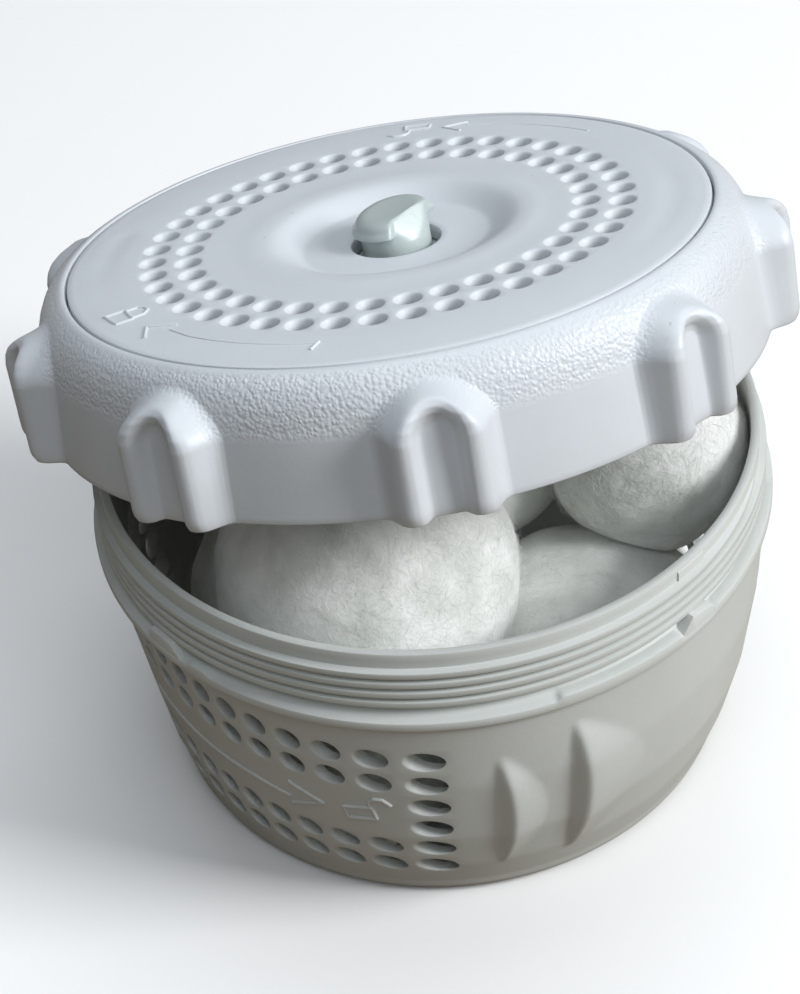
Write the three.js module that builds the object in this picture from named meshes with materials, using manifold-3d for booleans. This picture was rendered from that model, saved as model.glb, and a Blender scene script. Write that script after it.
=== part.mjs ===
// A canister filter for fibre filter balls: a perforated basket with a threaded neck, packed with soft
// balls, and a two-piece screw cap that stands tilted on them, as when the basket has just been filled.
// Millimetres, +Z up. The origin is the centre of the basket's standing face.
import * as THREE from 'three';
import { mergeVertices } from 'three/addons/utils/BufferGeometryUtils.js';
import Module from 'manifold-3d';

const wasm = await Module();
wasm.setup();

// ---- driving dimensions -------------------------------------------------------------------------
const GAP = 0.3;                   // running clearance between pieces that touch
const FACETS = 48;                 // facets round every turned piece
const MESH_TOLERANCE = 0.01;       // flat faces lose the edges that cuts leave on them, within this
const PLAIN_FACET = 8;             // degrees, about, for a facet of the body between the panels

const basketHeight = 60;           // standing face to lip
const lipRadius = 52;              // outside of the lip
const lipWall = 1.4;
const basketWall = 1.9;
const floorThickness = 2.4;
const floorRecess = 1;             // the floor stands on a ring and a middle pad, with a recess between
const standingRingInner = 35;
const middlePadRadius = 12;
const recessSlope = 0.8;
const footRadius = 46.4;           // body just above the rounded foot
const footRound = 3.2;

const bandHeight = 2.8;            // plain band between the lip and the first thread
const threadPitch = 1.95;
const threadTurns = 4;
const threadDepth = 1.1;
const bandTab = { azimuths: [134.8, 314.8], widthAngle: 6.4, bottomDrop: 2.8, topDrop: 0.6, height: 0.25 };
const neckHeight = 11.2;           // lip to the top of the flange, at the neck
const flangeFall = 0.8;            // the flange's top slopes down to its edge
const flangeEdge = 1.7;            // thickness of the flange at its edge
const flangeWidth = 0.8;           // how far the flange stands out of the body
const shoulderRadius = 53.4;       // body just under the flange
const bellyRadius = 50.6;          // body a third of the way up from the foot
const bellyHeight = 18.5;

const panelAzimuth = 215.5;        // middle of the perforated panel, its twin is opposite
const panelHalfAngle = 56;
const panelFlat = 2.1;             // how far the panel lies inside the round of the body
const holePitch = 5.72;
const holeRowPitch = 5.65;
const holeRadius = 2.05;
const holeMouthRadius = 2.35;
const holeRows = 6;
const holeColumns = 15;
const topRowDrop = 21.7;           // lip to the top row

const stopWidthAngle = 6;          // stop lugs on the flange
const stopHeight = 0.8;            // above the flange's top at the neck
const stopAzimuths = [217.6, 37.6];
const rampAzimuths = [314.8, 134.8];
const rampWidthAngle = 6.6;
const rampHeight = 1.4;
const lugSink = 0.4;               // how far the lugs are sunk into the flange

const thumbRidges = [              // raised crescents for the thumb: left edge, crest and right edge
  { azimuth: 275.6, crest: 3.4, width: 8.5, height: 2.2, middleDrop: 37, halfLength: 14 },
  { azimuth: 288.4, crest: 4.2, width: 15, height: 2.8, middleDrop: 36, halfLength: 16.5 },
];

const capTilt = -15;               // degrees about X: the front stands up on the balls
const capRoll = -4.35;             // degrees about Y: the right side stands a little higher
const capRise = 31;                // lip to the middle of the cap's top face
const capCentre = [-3.3, 8.4, basketHeight + capRise];
const discRadius = 49.1;
const discThickness = 2.3;
const plateCrown = 0.4;            // how far the plate's middle stands above its edge
const plateRise = 9;               // width of the slope from the edge up to the crown
const dishRadius = 19.4;
const dishDepth = 2;               // the plate's edge to the rim of the middle hole
const dishOffset = 1.2;            // the dish and the knob stand this far off the plate's middle, along X
const outerRingRadius = 35.9;
const outerRingHoles = 42;
const innerRingRadius = 30.4;
const innerRingHoles = 36;
const capHoleRadius = 1.7;
const capHoleMouthRadius = 2.15;
const snapHooks = 4;

const ringSlack = 0.3;             // round the disc, which the ring turns about
const skirtRadius = 56.2;
const skirtDepth = 20.6;           // top face to the skirt's edge
const skirtInner = 53.7;           // clear of the neck's thread
const shoulderDrop = 8;            // top face to the end of the domed shoulder
const shoulderOuter = 55.1;
const ledgeWidth = 2.6;
const ledgeThickness = 1.8;
const lobes = 9;
const lobeAzimuth = 275.1;
const lobeHeight = 4.1;            // how far the grip lobes stand out of the skirt
const lobeLegSpacing = 9.2;
const lobeLegWidth = 2.6;          // at the crest
const lobeFlank = 2.9;             // how much wider each leg is at the skirt, on the outside
const lobePocketFlank = 1.2;       // and on the inside
const lobeTopDrop = 2.2;
const lobeArchDrop = 8.4;          // top face to the centre of the arch
const lobeFootRise = 0.1;          // the skirt's edge to the ends of the legs
const lobePocket = 1.1;            // how far the face between the legs stands out of the skirt
const capThreadTurns = 2;
const capThreadDepth = 1.1;
const capThreadDrop = 9;

const postRadius = 5.3;
const headRadius = 6.5;
const headLip = 0.9;               // plate's edge to the head's lower lip
const headHeight = 3.4;
const headSlope = 0.13;            // the head's top rises towards its uncut side
const headSlopeAzimuth = 30;
const hookCutAzimuths = [279, 363];
const hookCutLean = 1.4;           // the cut side leans in by this much at the top
const boreRadius = 6.8;
const collarRadius = 8.1;
const collarThickness = 1.8;
const housingInner = 8.5;
const housingWall = 1.6;
const housingDepth = 12;           // underside of the dish to the end of the spring housing
const retainerPlug = 1.9;
const retainerFlange = 1.2;
const springWire = 0.8;
const springTurns = 3.5;
const postOverrun = 0.6;           // how far the post stands out of the retainer at rest
const knobTravel = 3.5;

// Fibre balls. The rest of each place is left to settling. Those that the cap rests on then swell until
// they meet it.
const frontBall = 23.4;
const rightBall = 15.6;
const backBall = 17.5;
const leftBall = 16.5;
const middleBall = 12.5;
const lowerBall = 19;
const lowerRightBall = 19.5;
const lowerFrontBall = 12;
const proppingBalls = ['left'];
const swellStep = 0.25;
const fallStep = 0.25;             // how far loose balls sink in a round of settling

// ---- helpers ------------------------------------------------------------------------------------
const radians = (degrees) => THREE.MathUtils.degToRad(degrees);

function solid(geometry) {
  const plain = geometry.index ? geometry.clone() : geometry;
  for (const name of Object.keys(plain.attributes)) {
    if (name !== 'position') plain.deleteAttribute(name);
  }
  const merged = mergeVertices(plain, 1e-4);
  return new wasm.Manifold(new wasm.Mesh({
    numProp: 3,
    vertProperties: new Float32Array(merged.attributes.position.array),
    triVerts: new Uint32Array(merged.index.array),
  }));
}

function geometryOf(manifold) {
  const mesh = manifold.asOriginal().simplify(MESH_TOLERANCE).getMesh();
  const geometry = new THREE.BufferGeometry();
  geometry.setAttribute('position', new THREE.BufferAttribute(new Float32Array(mesh.vertProperties), 3));
  geometry.setIndex(new THREE.BufferAttribute(new Uint32Array(mesh.triVerts), 1));
  return geometry;
}

// A body turned about Z from a profile of [radius, height] points, which runs so that the material
// lies on its left: up the outside and down the inside. Profiles that don't reach the axis are closed.
// Where azimuths are given, the facets' edges stand at them instead of at an even spacing.
function turned(profile, facets = FACETS, azimuths = null) {
  const points = profile.map(([radius, height]) => new THREE.Vector2(radius, height));
  if (profile[0][0] > 0) points.push(points[0].clone());
  const sides = azimuths ? azimuths.length : facets;
  const geometry = new THREE.LatheGeometry(points, sides).rotateX(Math.PI / 2);
  if (!azimuths) return geometry;
  const position = geometry.attributes.position;
  for (let i = 0; i < position.count; i += 1) {
    const radius = Math.hypot(position.getX(i), position.getY(i));
    const angle = radians(azimuths[Math.floor(i / points.length) % sides]);
    position.setX(i, radius * Math.cos(angle));
    position.setY(i, radius * Math.sin(angle));
  }
  return geometry;
}

// Places a geometry made round the Z axis at the origin so that its Z points along a level azimuth.
function aimed(geometry, azimuth, lateral, height) {
  geometry.rotateY(Math.PI / 2);
  geometry.translate(0, lateral, height);
  geometry.rotateZ(radians(azimuth));
  return geometry;
}

function arc(centreR, centreZ, radius, from, to, steps) {
  return Array.from({ length: steps + 1 }, (_, i) => {
    const angle = radians(from + ((to - from) * i) / steps);
    return [centreR + radius * Math.cos(angle), centreZ + radius * Math.sin(angle)];
  });
}

function wrapped(degrees) {
  return ((((degrees + 180) % 360) + 360) % 360) - 180;
}

// ---- basket -------------------------------------------------------------------------------------
const flangeTop = basketHeight - neckHeight;
const flangeBottom = flangeTop - flangeFall - flangeEdge;
const flangeRadius = shoulderRadius + flangeWidth;
const floorTop = floorRecess + floorThickness;

// Outside radius of the body at a height, before the panels are flattened: foot, belly, shoulder.
function bodyRadius(height) {
  const points = [[footRound, footRadius], [bellyHeight, bellyRadius], [flangeBottom, shoulderRadius]];
  if (height <= points[0][0]) return points[0][1];
  for (let i = 1; i < points.length; i += 1) {
    const [h1, r1] = points[i];
    const [h0, r0] = points[i - 1];
    if (height <= h1) return r0 + ((r1 - r0) * (height - h0)) / (h1 - h0);
  }
  return shoulderRadius;
}

// The share by which the wall is drawn in at an azimuth and a height: full in the middle of a
// perforated panel from the belly up, nothing at the foot and above the body.
function panelInset(azimuth, height) {
  const away = Math.min(Math.abs(wrapped(azimuth - panelAzimuth)),
    Math.abs(wrapped(azimuth - panelAzimuth - 180)));
  if (away >= panelHalfAngle || height <= footRound || height >= flangeBottom + 0.01) return 0;
  const across = Math.cos((Math.PI / 2) * (away / panelHalfAngle)) ** 2;
  const rise = THREE.MathUtils.clamp((height - footRound) / (bellyHeight - footRound), 0, 1);
  return (panelFlat / shoulderRadius) * across * rise;
}

function innerRadius(height) {
  const neck = lipRadius - lipWall;
  return Math.min(neck, bodyRadius(height) - basketWall);
}

// Azimuths of the body's facet edges: halfway between the hole columns on each panel, even between.
function bodyAzimuths() {
  const azimuths = [];
  const edges = holeColumns + 1;
  const topRadius = bodyRadius(basketHeight - topRowDrop);
  const reach = THREE.MathUtils.radToDeg(Math.asin((holeColumns / 2) * holePitch / topRadius));
  const plainFacets = Math.round((180 - 2 * reach) / PLAIN_FACET);
  for (const panel of [panelAzimuth - 180, panelAzimuth]) {
    for (let i = 0; i < edges; i += 1) {
      const lateral = (i - holeColumns / 2) * holePitch;
      azimuths.push(panel + THREE.MathUtils.radToDeg(Math.asin(lateral / topRadius)));
    }
    for (let i = 1; i < plainFacets; i += 1) {
      azimuths.push(panel + reach + ((180 - 2 * reach) * i) / plainFacets);
    }
  }
  return azimuths;
}

function bodyShell() {
  const rows = [footRound, bellyHeight];
  const outside = rows.map((height) => [bodyRadius(height), height]);
  const inside = [bellyHeight].map((height) => [innerRadius(height), height]);
  const foot = arc(footRadius - footRound, footRound, footRound, -90, -20, 3);
  const profile = [
    [0, 0], [middlePadRadius - recessSlope, 0], [middlePadRadius, floorRecess],
    [standingRingInner, floorRecess], [standingRingInner + recessSlope, 0], ...foot,
    ...outside, [bodyRadius(flangeBottom), flangeBottom],
    [flangeRadius, flangeBottom], [flangeRadius, flangeTop - flangeFall], [lipRadius, flangeTop],
    [lipRadius, basketHeight - 0.35], [lipRadius - 0.35, basketHeight],
    [lipRadius - lipWall + 0.2, basketHeight], [lipRadius - lipWall, basketHeight - 0.3],
    [innerRadius(flangeBottom), flangeBottom],
    ...inside, [innerRadius(floorTop + 3), floorTop + 3], [innerRadius(floorTop) - 3, floorTop],
    [0, floorTop],
  ];
  const geometry = turned(profile, FACETS, bodyAzimuths());
  const position = geometry.attributes.position;
  for (let i = 0; i < position.count; i += 1) {
    const x = position.getX(i);
    const y = position.getY(i);
    const radius = Math.hypot(x, y);
    if (radius < footRadius - footRound) continue;
    const azimuth = THREE.MathUtils.radToDeg(Math.atan2(y, x));
    const scale = 1 - panelInset(azimuth, position.getZ(i));
    position.setX(i, x * scale);
    position.setY(i, y * scale);
  }
  return solid(geometry);
}

// A right-handed thread ridge wound on a wall, as rings of [radius, height] sections along the given
// azimuths: it starts a few turns below the top and rises as it goes round. The ridge stands from root to
// crest and fades in and out at its ends. Where the crest is the smaller radius, it stands inwards, as in
// a cap.
function threadRidge(root, crest, top, pitch, azimuths, turns) {
  const sides = azimuths.length;
  const steps = Math.round(turns * sides);
  const inwards = crest < root;
  const positions = [];
  for (let i = 0; i <= steps; i += 1) {
    const turn = Math.floor(i / sides);
    const azimuth = azimuths[i % sides] + 360 * turn;
    const level = top - pitch * turns + (pitch * (azimuth - azimuths[0])) / 360;
    const fade = Math.min(1, i / 5, (steps - i) / 5);
    const wall = root + (inwards ? 0.5 : -0.5);
    const edge = root + (inwards ? -0.06 : 0.06) + (crest - root) * 0.94 * fade;
    const crestTop = level - 0.18 * pitch;
    const crestFoot = level - 0.72 * pitch;
    const section = [[wall, level], [wall, level - 0.85 * pitch], [edge, crestFoot], [edge, crestTop]];
    for (const [radius, height] of section) {
      positions.push(radius * Math.cos(radians(azimuth)), radius * Math.sin(radians(azimuth)), height);
    }
  }
  const index = [];
  for (let i = 0; i < steps; i += 1) {
    for (let k = 0; k < 4; k += 1) {
      const a = 4 * i + k;
      const b = 4 * i + ((k + 1) % 4);
      index.push(a, b + 4, b, a, a + 4, b + 4);
    }
  }
  const last = 4 * steps;
  index.push(0, 1, 2, 0, 2, 3, last, last + 2, last + 1, last, last + 3, last + 2);
  if (inwards) index.reverse();
  const geometry = new THREE.BufferGeometry();
  geometry.setAttribute('position', new THREE.Float32BufferAttribute(positions, 3));
  geometry.setIndex(index);
  return solid(geometry);
}

function neckThread() {
  const top = basketHeight - bandHeight;
  const crest = lipRadius + threadDepth;
  return threadRidge(lipRadius, crest, top, threadPitch, bodyAzimuths(), threadTurns);
}

// A block that stands out of the neck about an azimuth, between two heights and out to a radius.
function neckBlock(azimuth, widthAngle, outer, bottom, top) {
  const inner = lipRadius - 0.6;
  const steps = 4;
  const shape = new THREE.Shape();
  for (let i = 0; i <= steps; i += 1) {
    const angle = radians(azimuth - widthAngle / 2 + (widthAngle * i) / steps);
    const draw = i === 0 ? 'moveTo' : 'lineTo';
    shape[draw](outer * Math.cos(angle), outer * Math.sin(angle));
  }
  for (let i = steps; i >= 0; i -= 1) {
    const angle = radians(azimuth - widthAngle / 2 + (widthAngle * i) / steps);
    shape.lineTo(inner * Math.cos(angle), inner * Math.sin(angle));
  }
  const block = new THREE.ExtrudeGeometry(shape, { depth: top - bottom, bevelEnabled: false });
  return solid(block.translate(0, 0, bottom));
}

// The lugs on the flange, from the neck to just inside the flange's edge, and the tabs on the plain band.
function neckBlocks() {
  const outer = flangeRadius - 0.15;
  const foot = flangeTop - flangeFall - lugSink;
  const tabOuter = lipRadius + bandTab.height;
  const tabFoot = basketHeight - bandTab.bottomDrop;
  const tabTop = basketHeight - bandTab.topDrop;
  return [
    ...stopAzimuths.map((at) => neckBlock(at, stopWidthAngle, outer, foot, flangeTop + stopHeight)),
    ...rampAzimuths.map((at) => neckBlock(at, rampWidthAngle, outer, foot, flangeTop + rampHeight)),
    ...bandTab.azimuths.map((at) => neckBlock(at, bandTab.widthAngle, tabOuter, tabFoot, tabTop)),
  ];
}

// A raised crescent on the wall: a steep left face, a crest that bows to the right, a long right face.
function thumbRidge(ridge, turn) {
  const rows = 8;
  const positions = [];
  for (let i = 0; i <= rows; i += 1) {
    const along = -1 + (2 * i) / rows;
    const bow = 1 - along * along;
    const height = basketHeight - ridge.middleDrop + along * ridge.halfLength;
    const wall = bodyRadius(height);
    const left = ridge.azimuth + turn;
    const places = [
      [left - 0.6, wall - 1.2], [left, wall - 0.05],
      [left + 0.6 + ridge.crest * bow, wall + 0.05 + ridge.height * bow],
      [left + 1.4 + ridge.width * bow, wall - 0.05], [left + 2 + ridge.width * bow, wall - 1.2],
    ];
    for (const [azimuth, radius] of places) {
      positions.push(radius * Math.cos(radians(azimuth)), radius * Math.sin(radians(azimuth)), height);
    }
  }
  const index = [];
  for (let i = 0; i < rows; i += 1) {
    for (let k = 0; k < 5; k += 1) {
      const a = 5 * i + k;
      const b = 5 * i + ((k + 1) % 5);
      index.push(a, b, b + 5, a, b + 5, a + 5);
    }
  }
  const last = 5 * rows;
  for (let k = 1; k < 4; k += 1) {
    index.push(0, k + 1, k, last, last + k, last + k + 1);
  }
  const geometry = new THREE.BufferGeometry();
  geometry.setAttribute('position', new THREE.Float32BufferAttribute(positions, 3));
  geometry.setIndex(index);
  return solid(geometry);
}

// The holes of one panel are all bored the same way, along the middle of the panel, so they stand at
// an even pitch seen from there. Rows 3 and 4 have only their end holes: the rest is left for the mark.
function panelHoles(azimuth) {
  const holes = [];
  const half = (holeColumns - 1) / 2;
  const topHeight = basketHeight - topRowDrop;
  for (let row = 0; row < holeRows; row += 1) {
    const height = topHeight - row * holeRowPitch;
    const middleRow = row === 2 || row === 3;
    const taper = bodyRadius(height) / bodyRadius(topHeight);
    for (let column = -half; column <= half; column += 1) {
      if (middleRow && Math.abs(column) < half) continue;
      const lateral = column * holePitch * taper;
      const far = bodyRadius(height);
      const near = Math.sqrt(far * far - lateral * lateral);
      const bore = new THREE.CylinderGeometry(holeMouthRadius, holeRadius, 20, 6);
      bore.rotateX(Math.PI / 2);
      bore.rotateZ(Math.PI / 6);
      bore.translate(0, 0, near - 2);
      holes.push(solid(aimed(bore, azimuth, lateral, height)));
    }
  }
  return holes;
}

function basketBody() {
  let body = wasm.Manifold.union([bodyShell(), neckThread(), ...neckBlocks()]);
  for (const ridge of thumbRidges) {
    body = body.add(thumbRidge(ridge, 0)).add(thumbRidge(ridge, 180));
  }
  const holes = [...panelHoles(panelAzimuth), ...panelHoles(panelAzimuth + 180)];
  return body.subtract(wasm.Manifold.union(holes));
}

// ---- cap ring: domed shoulder, skirt, grip lobes and inside thread ---------------------------------
// The cap's own frame has its origin in the middle of its top face, +Z out of the top.
const recessRadius = discRadius + ringSlack;
const ledgeInner = recessRadius - ledgeWidth;
const ledgeTop = -discThickness - GAP;
const ledgeBottom = ledgeTop - ledgeThickness;
const lobeRadius = skirtRadius + lobeHeight;

function ringShell() {
  const profile = [
    [skirtInner, -skirtDepth], [skirtRadius - 0.4, -skirtDepth], [skirtRadius, -skirtDepth + 0.5],
    [shoulderOuter, -shoulderDrop], [shoulderOuter - 0.8, -0.55 * shoulderDrop],
    [shoulderOuter - 2.5, -0.24 * shoulderDrop], [recessRadius + 1.3, -0.4], [recessRadius, 0],
    [recessRadius, ledgeTop], [ledgeInner, ledgeTop], [ledgeInner, ledgeBottom],
    [recessRadius + 0.6, ledgeBottom], [skirtInner - 1.3, ledgeBottom - 1.6],
    [skirtInner, ledgeBottom - 4.5],
  ];
  return solid(turned(profile));
}

// A prism with an arch for its outline, which stands out of the ring at an azimuth from one radius to
// another. The arch is given as [half width, rise] at the skirt and at the crest of the lobes.
function archPrism(azimuth, atSkirt, atCrest, foot, from, to) {
  const outline = [[-1, foot + lobeArchDrop], ...arc(0, 0, 1, 180, 0, 6), [1, foot + lobeArchDrop]];
  const shape = new THREE.Shape(outline.map(([across, up]) => new THREE.Vector2(across, up)));
  const prism = new THREE.ExtrudeGeometry(shape, { depth: to - from, bevelEnabled: false });
  const position = prism.attributes.position;
  for (let i = 0; i < position.count; i += 1) {
    const share = (from + position.getZ(i) - skirtRadius) / lobeHeight;
    const half = THREE.MathUtils.lerp(atSkirt[0], atCrest[0], share);
    const rise = THREE.MathUtils.lerp(atSkirt[1], atCrest[1], share);
    const up = position.getY(i);
    position.setX(i, position.getX(i) * half);
    position.setY(i, (up > 0 ? up * rise : up) - lobeArchDrop);
  }
  prism.rotateX(Math.PI / 2);
  prism.rotateZ(Math.PI / 2);
  prism.translate(from, 0, 0);
  prism.rotateZ(radians(azimuth));
  return solid(prism);
}

// The space that the lobes fill: as high as the crest down the skirt, and rounded over the shoulder.
function lobeEnvelope(foot) {
  const wallMiddle = (skirtInner + shoulderOuter) / 2;
  const under = recessRadius + 1.7;
  return solid(turned([
    [wallMiddle, foot], [lobeRadius - 0.8, foot], [lobeRadius, foot + 0.9], [lobeRadius, -shoulderDrop],
    [lobeRadius - 1, -lobeTopDrop - 2.8], [shoulderOuter + 1.6, -lobeTopDrop - 0.8],
    [shoulderOuter - 2.3, -lobeTopDrop + 0.3], [under, -lobeTopDrop + 0.2], [under, ledgeBottom + 0.4],
    [skirtInner - 0.5, ledgeBottom - 2.2], [wallMiddle, ledgeBottom - 4.5],
  ]));
}

// The grip lobes are inverted Us with leaning flanks. The pocket between a lobe's legs has a floor of its
// own, a little proud of the skirt.
function gripLobes() {
  const foot = -skirtDepth + lobeFootRise;
  const crestHalf = (lobeLegSpacing + lobeLegWidth) / 2;
  const mouthHalf = (lobeLegSpacing - lobeLegWidth) / 2;
  const half = crestHalf + lobeFlank;
  const pocketHalf = mouthHalf - lobePocketFlank;
  const rise = lobeArchDrop - lobeTopDrop;
  const outside = [];
  const pockets = [];
  for (let i = 0; i < lobes; i += 1) {
    const azimuth = lobeAzimuth + (360 * i) / lobes;
    outside.push(archPrism(azimuth, [half, rise], [crestHalf, rise * (crestHalf / half)], foot - 1,
      recessRadius + 1, lobeRadius + 1));
    pockets.push(archPrism(azimuth, [pocketHalf, pocketHalf], [mouthHalf, mouthHalf], foot - 2,
      skirtRadius + lobePocket, lobeRadius + 2));
  }
  const grips = wasm.Manifold.union(outside).intersect(lobeEnvelope(foot));
  return grips.subtract(wasm.Manifold.union(pockets));
}

function evenAzimuths(count) {
  return Array.from({ length: count }, (_, i) => (360 * i) / count);
}

function capRing() {
  const crest = skirtInner - capThreadDepth;
  const thread = threadRidge(skirtInner, crest, -capThreadDrop, threadPitch, evenAzimuths(FACETS),
    capThreadTurns);
  return wasm.Manifold.union([ringShell(), gripLobes(), thread]);
}

// ---- cap disc: perforated plate with a dish, the spring housing and its snap hooks ----------------
const dishUnderside = -dishDepth - discThickness;
const housingOuter = housingInner + housingWall;
const housingEnd = dishUnderside - housingDepth;
const onKnobAxis = (shape) => shape.translate([dishOffset, 0, 0]);

// The plate, its dish and the spring housing below it. Dish and housing share the knob's own axis.
function discPlate() {
  const under = -discThickness;
  const crownRadius = discRadius - plateRise;
  const plate = turned([
    [0, under], [discRadius, under], [discRadius, -0.4], [discRadius - 0.4, 0], [crownRadius, plateCrown],
    [0, plateCrown],
  ]);
  const dish = turned([
    [0, housingEnd], [housingOuter, housingEnd], [housingOuter, dishUnderside],
    [dishRadius - 1.2, under - 0.6], [dishRadius + 0.6, under], [dishRadius + 0.6, under / 2], [0, under / 2],
  ]);
  const hollow = turned([
    [0, housingEnd - 1], [housingInner, housingEnd - 1], [housingInner, dishUnderside],
    [boreRadius, dishUnderside], [boreRadius, -dishDepth - 0.2], [boreRadius + 0.2, -dishDepth],
    [boreRadius + 2.4, -dishDepth + 0.1], [dishRadius - 1.2, plateCrown - 0.6], [dishRadius, plateCrown],
    [dishRadius, plateCrown + 1], [0, plateCrown + 1],
  ]);
  return solid(plate).add(onKnobAxis(solid(dish))).subtract(onKnobAxis(solid(hollow)));
}

function ringOfHoles(count, radius, azimuth) {
  return Array.from({ length: count }, (_, i) => {
    const length = discThickness + plateCrown + 0.4;
    const bore = new THREE.CylinderGeometry(capHoleMouthRadius, capHoleRadius, length, 6);
    bore.rotateX(Math.PI / 2);
    bore.rotateZ(Math.PI / 6);
    bore.translate(radius, 0, (plateCrown - discThickness) / 2);
    bore.rotateZ(radians(azimuth + (360 * i) / count));
    return solid(bore);
  });
}

function snapHook(azimuth) {
  const outer = ledgeInner - GAP - 0.1;
  const inner = outer - 1.6;
  const catchTop = ledgeBottom - GAP;
  const shape = new THREE.Shape([
    [inner, -discThickness + 0.2], [inner, catchTop - 2], [outer, catchTop - 2],
    [outer + 1.5, catchTop - 0.6], [outer + 1.5, catchTop], [outer, catchTop],
    [outer, -discThickness + 0.2],
  ].map(([x, y]) => new THREE.Vector2(x, y)));
  const width = 7;
  const hook = new THREE.ExtrudeGeometry(shape, { depth: width, bevelEnabled: false });
  hook.translate(0, 0, -width / 2);
  hook.rotateX(Math.PI / 2);
  hook.rotateZ(radians(azimuth));
  return solid(hook);
}

function capDisc() {
  const holes = [
    ...ringOfHoles(outerRingHoles, outerRingRadius, 1.2),
    ...ringOfHoles(innerRingHoles, innerRingRadius, 5.6),
  ];
  let disc = discPlate().subtract(wasm.Manifold.union(holes));
  for (let i = 0; i < snapHooks; i += 1) disc = disc.add(snapHook(40 + (360 * i) / snapHooks));
  return disc;
}

// ---- centre knob, its spring and its retainer ------------------------------------------------------
const collarTop = dishUnderside - GAP;
const collarBottom = collarTop - collarThickness;
const retainerTop = housingEnd + retainerPlug;
const retainerEnd = housingEnd - GAP - retainerFlange;

// The post with its collar and its head. The head's top slopes, and one side of it is cut back to the
// post and leans in towards the top.
function centreKnob() {
  const body = turned([
    [0, retainerEnd - postOverrun], [postRadius - 0.5, retainerEnd - postOverrun],
    [postRadius, retainerEnd - postOverrun + 0.5], [postRadius, collarBottom],
    [collarRadius, collarBottom], [collarRadius, collarTop], [postRadius, collarTop],
    [postRadius, headLip + 0.3], [headRadius - 0.5, headLip], [headRadius, headLip + 0.4],
    [headRadius - 0.4, headHeight - 1.1], [headRadius - 1.2, headHeight - 0.4],
    [headRadius - 2.6, headHeight], [0, headHeight],
  ], 24);
  const position = body.attributes.position;
  const rise = radians(headSlopeAzimuth);
  for (let i = 0; i < position.count; i += 1) {
    const z = position.getZ(i);
    if (z < headLip - 0.01) continue;
    const along = position.getX(i) * Math.cos(rise) + position.getY(i) * Math.sin(rise);
    position.setZ(i, z + headSlope * along);
  }
  const [from, to] = hookCutAzimuths;
  const steps = 6;
  const angles = Array.from({ length: steps + 1 }, (_, i) => radians(from + ((to - from) * i) / steps));
  const along = (radius) => (angle) => new THREE.Vector2(radius * Math.cos(angle), radius * Math.sin(angle));
  const sector = new THREE.Shape([
    ...angles.map(along(headRadius + 2)), ...angles.map(along(postRadius)).reverse(),
  ]);
  const cutHeight = headHeight - headLip + 2;
  const cut = new THREE.ExtrudeGeometry(sector, { depth: cutHeight, bevelEnabled: false });
  const corner = cut.attributes.position;
  for (let i = 0; i < corner.count; i += 1) {
    const radius = Math.hypot(corner.getX(i), corner.getY(i));
    if (corner.getZ(i) < cutHeight / 2 || radius > postRadius + 0.1) continue;
    const scale = 1 - hookCutLean / postRadius;
    corner.setXY(i, corner.getX(i) * scale, corner.getY(i) * scale);
  }
  return onKnobAxis(solid(body).subtract(solid(cut.translate(0, 0, headLip - 1))));
}

function knobSpring() {
  const meanRadius = (postRadius + housingInner) / 2;
  const top = collarBottom - GAP - springWire / 2;
  const bottom = retainerTop + GAP + springWire / 2;
  const perTurn = 8;
  const steps = Math.round(springTurns * perTurn);
  const sides = 5;
  const positions = [];
  const climb = (top - bottom) / (2 * Math.PI * springTurns);
  const lean = Math.atan2(climb, meanRadius);
  for (let i = 0; i <= steps; i += 1) {
    const turn = (2 * Math.PI * i) / perTurn;
    const along = new THREE.Vector3(-Math.sin(turn) * Math.cos(lean), Math.cos(turn) * Math.cos(lean),
      Math.sin(lean));
    const out = new THREE.Vector3(Math.cos(turn), Math.sin(turn), 0);
    const up = new THREE.Vector3().crossVectors(out, along);
    const centre = out.clone().multiplyScalar(meanRadius).setZ(bottom + ((top - bottom) * i) / steps);
    for (let k = 0; k < sides; k += 1) {
      const angle = (2 * Math.PI * k) / sides;
      const point = centre.clone().addScaledVector(out, (springWire / 2) * Math.cos(angle))
        .addScaledVector(up, (springWire / 2) * Math.sin(angle));
      positions.push(point.x, point.y, point.z);
    }
  }
  const index = [];
  for (let i = 0; i < steps; i += 1) {
    for (let k = 0; k < sides; k += 1) {
      const a = sides * i + k;
      const b = sides * i + ((k + 1) % sides);
      index.push(a, b + sides, b, a, a + sides, b + sides);
    }
  }
  const last = sides * steps;
  for (let k = 1; k < sides - 1; k += 1) index.push(0, k, k + 1, last, last + k + 1, last + k);
  const geometry = new THREE.BufferGeometry();
  geometry.setAttribute('position', new THREE.Float32BufferAttribute(positions, 3));
  geometry.setIndex(index);
  const leastGap = leastGapBetweenCurls(positions, sides * perTurn);
  console.log(`knob_spring: least gap between its curls ${leastGap} mm`);
  return onKnobAxis(solid(geometry));
}

// Least distance from a point of a coil to a point that is half a curl or more further along it.
function leastGapBetweenCurls(positions, pointsPerCurl) {
  const point = (i) => new THREE.Vector3().fromArray(positions, 3 * i);
  let least = Infinity;
  for (let i = 0; i < positions.length / 3; i += 1) {
    for (let j = i + pointsPerCurl / 2; j < positions.length / 3; j += 1) {
      least = Math.min(least, point(i).distanceTo(point(j)));
    }
  }
  return least.toFixed(2);
}

function knobRetainer() {
  const bore = postRadius + GAP;
  const plug = housingInner - GAP;
  return onKnobAxis(solid(turned([
    [bore, retainerEnd], [housingOuter, retainerEnd], [housingOuter, housingEnd - GAP],
    [plug, housingEnd - GAP], [plug, retainerTop], [bore, retainerTop],
  ], 24)));
}

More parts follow.
